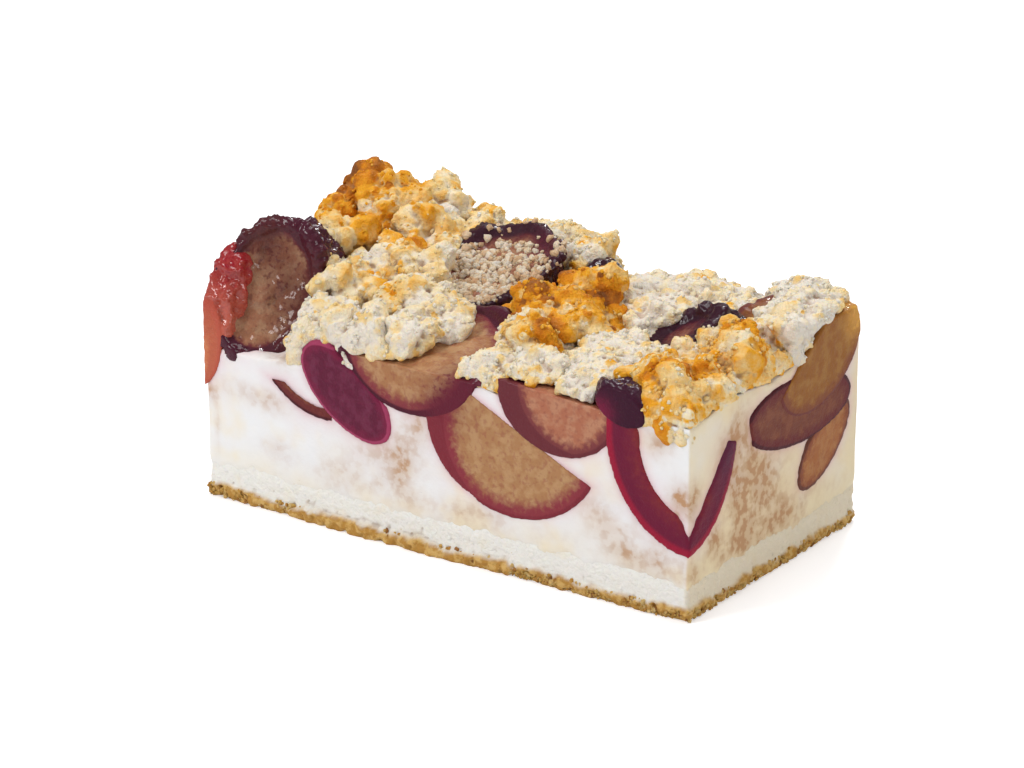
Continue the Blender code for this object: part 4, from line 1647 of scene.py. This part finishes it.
@dataclass
class LooseCrumbs:
    """The loose crumbs: on the crumble, on bare plums and along the dough's foot."""

    topping: CrumbleTopping
    golden_count: int = 2600
    golden_sizes: CrumbSizes = CrumbSizes(-1.2, 0.35, 0.17, 0.65)
    golden_seed: int = 401
    foot_count: int = 2600
    foot_sizes: CrumbSizes = CrumbSizes(-1.2, 0.35, 0.15, 0.55)
    foot_seed: int = 411
    white_count: int = 1100
    white_sizes: CrumbSizes = CrumbSizes(-0.75, 0.38, 0.22, 0.95)
    white_seed: int = 421
    white_heap: Spot = Spot((-13.0, 2.5, 41.0), (13.0, 12.0, 8.0))

    def golden(self, clumps: Sequence[Piece], mould: CrumbMould) -> None:
        """Small crumbs all over the crumble.

        Args:
            clumps: the finished clumps.
            mould: the crumbs to copy.
        """
        draw = np.random.default_rng(self.golden_seed)
        each = self.golden_count // len(clumps)
        places, baking = [], []
        for clump, piece in zip(self.topping.clumps, clumps):
            spots, outward = on_surface(piece, each, draw, 0.1)
            places.append(spots + outward * 0.05)
            baking.append(clump.baked(spots) + draw.uniform(-0.12, 0.14, size=each))
        spots = np.concatenate(places)
        radii = self.golden_sizes.drawn(draw, len(spots))
        piece, owners = mould.scatter("crumbs_on_crumble", spots, radii, self.golden_seed + 2)
        piece.mark("baking", np.clip(np.concatenate(baking)[owners], 0.0, 1.0))
        piece.mark("hollow", np.zeros(len(owners)))
        piece.settle(CrumbleFinish("loose_crumble").material(), "crumble")

    def build(self, clumps: Sequence[Piece]) -> None:
        """Scatters every kind of loose crumb.

        Args:
            clumps: the finished clumps.
        """
        mould = CrumbMould(6, 0.42, 500, keep=0.6)
        self.golden(clumps, mould)
        self.foot(mould)
        self.white(mould)

    def foot(self, mould: CrumbMould) -> None:
        """Golden-brown crumbs along the dough's foot.

        Args:
            mould: the crumbs to copy.
        """
        draw = np.random.default_rng(self.foot_seed)
        count = self.foot_count
        around = draw.uniform(0.0, 4 * (HALF_LENGTH + HALF_WIDTH), size=count)
        length, width = 2 * HALF_LENGTH, 2 * HALF_WIDTH
        on_side = [around < length, around < length + width, around < 2 * length + width]
        x = [around - HALF_LENGTH, HALF_LENGTH, around - length - width - HALF_LENGTH]
        x = np.select(on_side, x, -HALF_LENGTH)
        y = [-HALF_WIDTH, around - length - HALF_WIDTH, HALF_WIDTH]
        y = np.select(on_side, y, around - 2 * length - width - HALF_WIDTH)
        radii = self.foot_sizes.drawn(draw, count)
        z = radii * 0.8 + np.minimum(np.abs(draw.normal(0.0, 1.0, size=count)), 1.8)
        swell = foot_swell(x, y + HALF_WIDTH - 1.0)
        inset = radii * 0.3 + draw.uniform(-0.15, 0.35, size=count) - 1.2 * swell
        places = np.stack((x, y, z), axis=1)
        for axis, half in SIDES:
            places[:, axis] = np.clip(places[:, axis], inset - half, half - inset)
        piece, owners = mould.scatter("crumbs_on_foot", places, radii, self.foot_seed + 2)
        points = piece.points()
        points[:, 2] = np.maximum(points[:, 2], 0.0)
        piece.place(points)
        tint = 0.45 + 0.2 * draw.normal(size=count)
        tint -= 0.25 * (z > 2.4)
        piece.mark("baking", np.clip(tint[owners], 0.1, 1.0))
        piece.mark("hollow", np.zeros(len(owners)))
        look = CrumbleFinish(
            "foot_crumble", (0.71, 0.50, 0.22), (0.67, 0.44, 0.17), (0.62, 0.38, 0.11),
            (0.48, 0.25, 0.055), (0.34, 0.15, 0.045), (0.18, 0.07, 0.025),
        )
        piece.settle(look.material(), "dough")

    def white(self, mould: CrumbMould) -> None:
        """Pale granules strewn over the bare plum at the back.

        Args:
            mould: the crumbs to copy.
        """
        draw = np.random.default_rng(self.white_seed)
        plum = Piece(bpy.data.objects["baked_plum_back_rim"])
        spots, _ = on_surface(plum, self.white_count * 2, draw, 0.75)
        keep = self.white_heap.at(spots) > draw.uniform(size=len(spots))
        spots = spots[keep][: self.white_count]
        radii = self.white_sizes.drawn(draw, len(spots))
        piece, owners = mould.scatter("granules_on_plum", spots, radii, self.white_seed + 2)
        tint = draw.uniform(0.0, 0.5, size=len(spots))
        piece.mark("baking", tint[owners])
        piece.mark("hollow", np.zeros(len(owners)))
        look = CrumbleFinish(
            "pale_granules", (0.74, 0.63, 0.51), (0.70, 0.56, 0.40), (0.62, 0.43, 0.27),
            (0.48, 0.26, 0.13),
        )
        piece.settle(look.material(), "crumble")


@dataclass
class Studio:
    """The pale floor, the soft lights and the camera at the photograph's angle."""

    azimuth: float = 34.811
    elevation: float = 20.153
    distance: float = 0.701797
    target: Triple = (-0.003846, 0.0, 0.023421)
    lens: float = 135.0
    floor_size: float = 12.0
    sky: float = 0.25
    lights: tuple[tuple[str, Triple, float, float], ...] = (
        ("key_softbox", (-0.55, -0.95, 0.75), 0.4, 7.4),
        ("side_softbox", (0.9, -0.3, 0.5), 0.35, 2.8),
        ("top_softbox", (0.0, 0.2, 0.85), 0.4, 3.2),
        ("back_spark", (-0.25, 0.75, 0.65), 0.10, 2.2),
        ("front_spark", (-0.35, -0.5, 0.8), 0.05, 1.1),
    )

    def add_camera(self) -> None:
        """Places the camera."""
        turn, rise = math.radians(self.azimuth), math.radians(self.elevation)
        level = math.cos(rise)
        back = Vector((math.sin(turn) * level, -math.cos(turn) * level, math.sin(rise)))
        right = Vector((math.cos(turn), math.sin(turn), 0.0))
        aim = Matrix((right, back.cross(right), back)).transposed().to_4x4()
        bpy.ops.object.camera_add()
        camera = bpy.context.object
        camera.name = "photo_camera"
        place = Vector(self.target) + back * self.distance
        camera.matrix_world = Matrix.Translation(place) @ aim
        camera.data.lens = self.lens
        camera.data.clip_start = 0.01
        bpy.context.scene.camera = camera

    def add_floor(self) -> None:
        """Lays the pale floor."""
        bpy.ops.mesh.primitive_plane_add(size=self.floor_size)
        floor = bpy.context.object
        floor.name = "pale_floor"
        recipe = Recipe("pale_floor", 0.9)
        cloud = recipe.effect(EFFECTS.mottle, 400.0, 0.5)
        colour = recipe.blend(cloud, (0.80, 0.80, 0.82), (0.82, 0.82, 0.84))
        recipe.shader.inputs["Emission Color"].default_value = (1.0, 1.0, 1.0, 1.0)
        seen = recipe.tree.nodes.new("ShaderNodeLightPath").outputs["Is Camera Ray"]
        glow = recipe.maths("ADD", recipe.times(seen, 0.3), 0.12)
        recipe.feed(recipe.shader.inputs["Emission Strength"], glow)
        floor.data.materials.append(recipe.paint(colour))

    def add_light(self, name: str, place: Triple, size: float, power: float) -> None:
        """Adds a square soft light aimed at the cake.

        Args:
            name: the light's name.
            place: where it hangs, in metres.
            size: its side, in metres.
            power: its power in watts.
        """
        bpy.ops.object.light_add(type="AREA", location=place)
        light = bpy.context.object
        light.name = name
        light.data.size = size
        light.data.energy = power
        aim = Vector(self.target) - Vector(place)
        light.rotation_euler = aim.to_track_quat("-Z", "Y").to_euler()

    def build(self) -> None:
        """Sets up the whole studio."""
        deselect_all()
        world = bpy.data.worlds.new("white_studio")
        world.use_nodes = True
        background = world.node_tree.nodes["Background"]
        background.inputs["Color"].default_value = (1.0, 1.0, 1.0, 1.0)
        background.inputs["Strength"].default_value = self.sky
        bpy.context.scene.world = world
        self.add_floor()
        for name, place, size, power in self.lights:
            self.add_light(name, place, size, power)
        self.add_camera()
        bpy.context.scene.view_settings.view_transform = "Standard"


def main() -> None:
    """Builds the studio and every piece of the cake."""
    logging.basicConfig(level=logging.INFO, format="%(message)s")
    Studio().build()
    plums = PlumTopping()
    DoughBase().build()
    CurdFilling(plums).build()
    plums.build()
    topping = CrumbleTopping()
    LooseCrumbs(topping).build(topping.build())


if __name__ == "__main__":
    main()
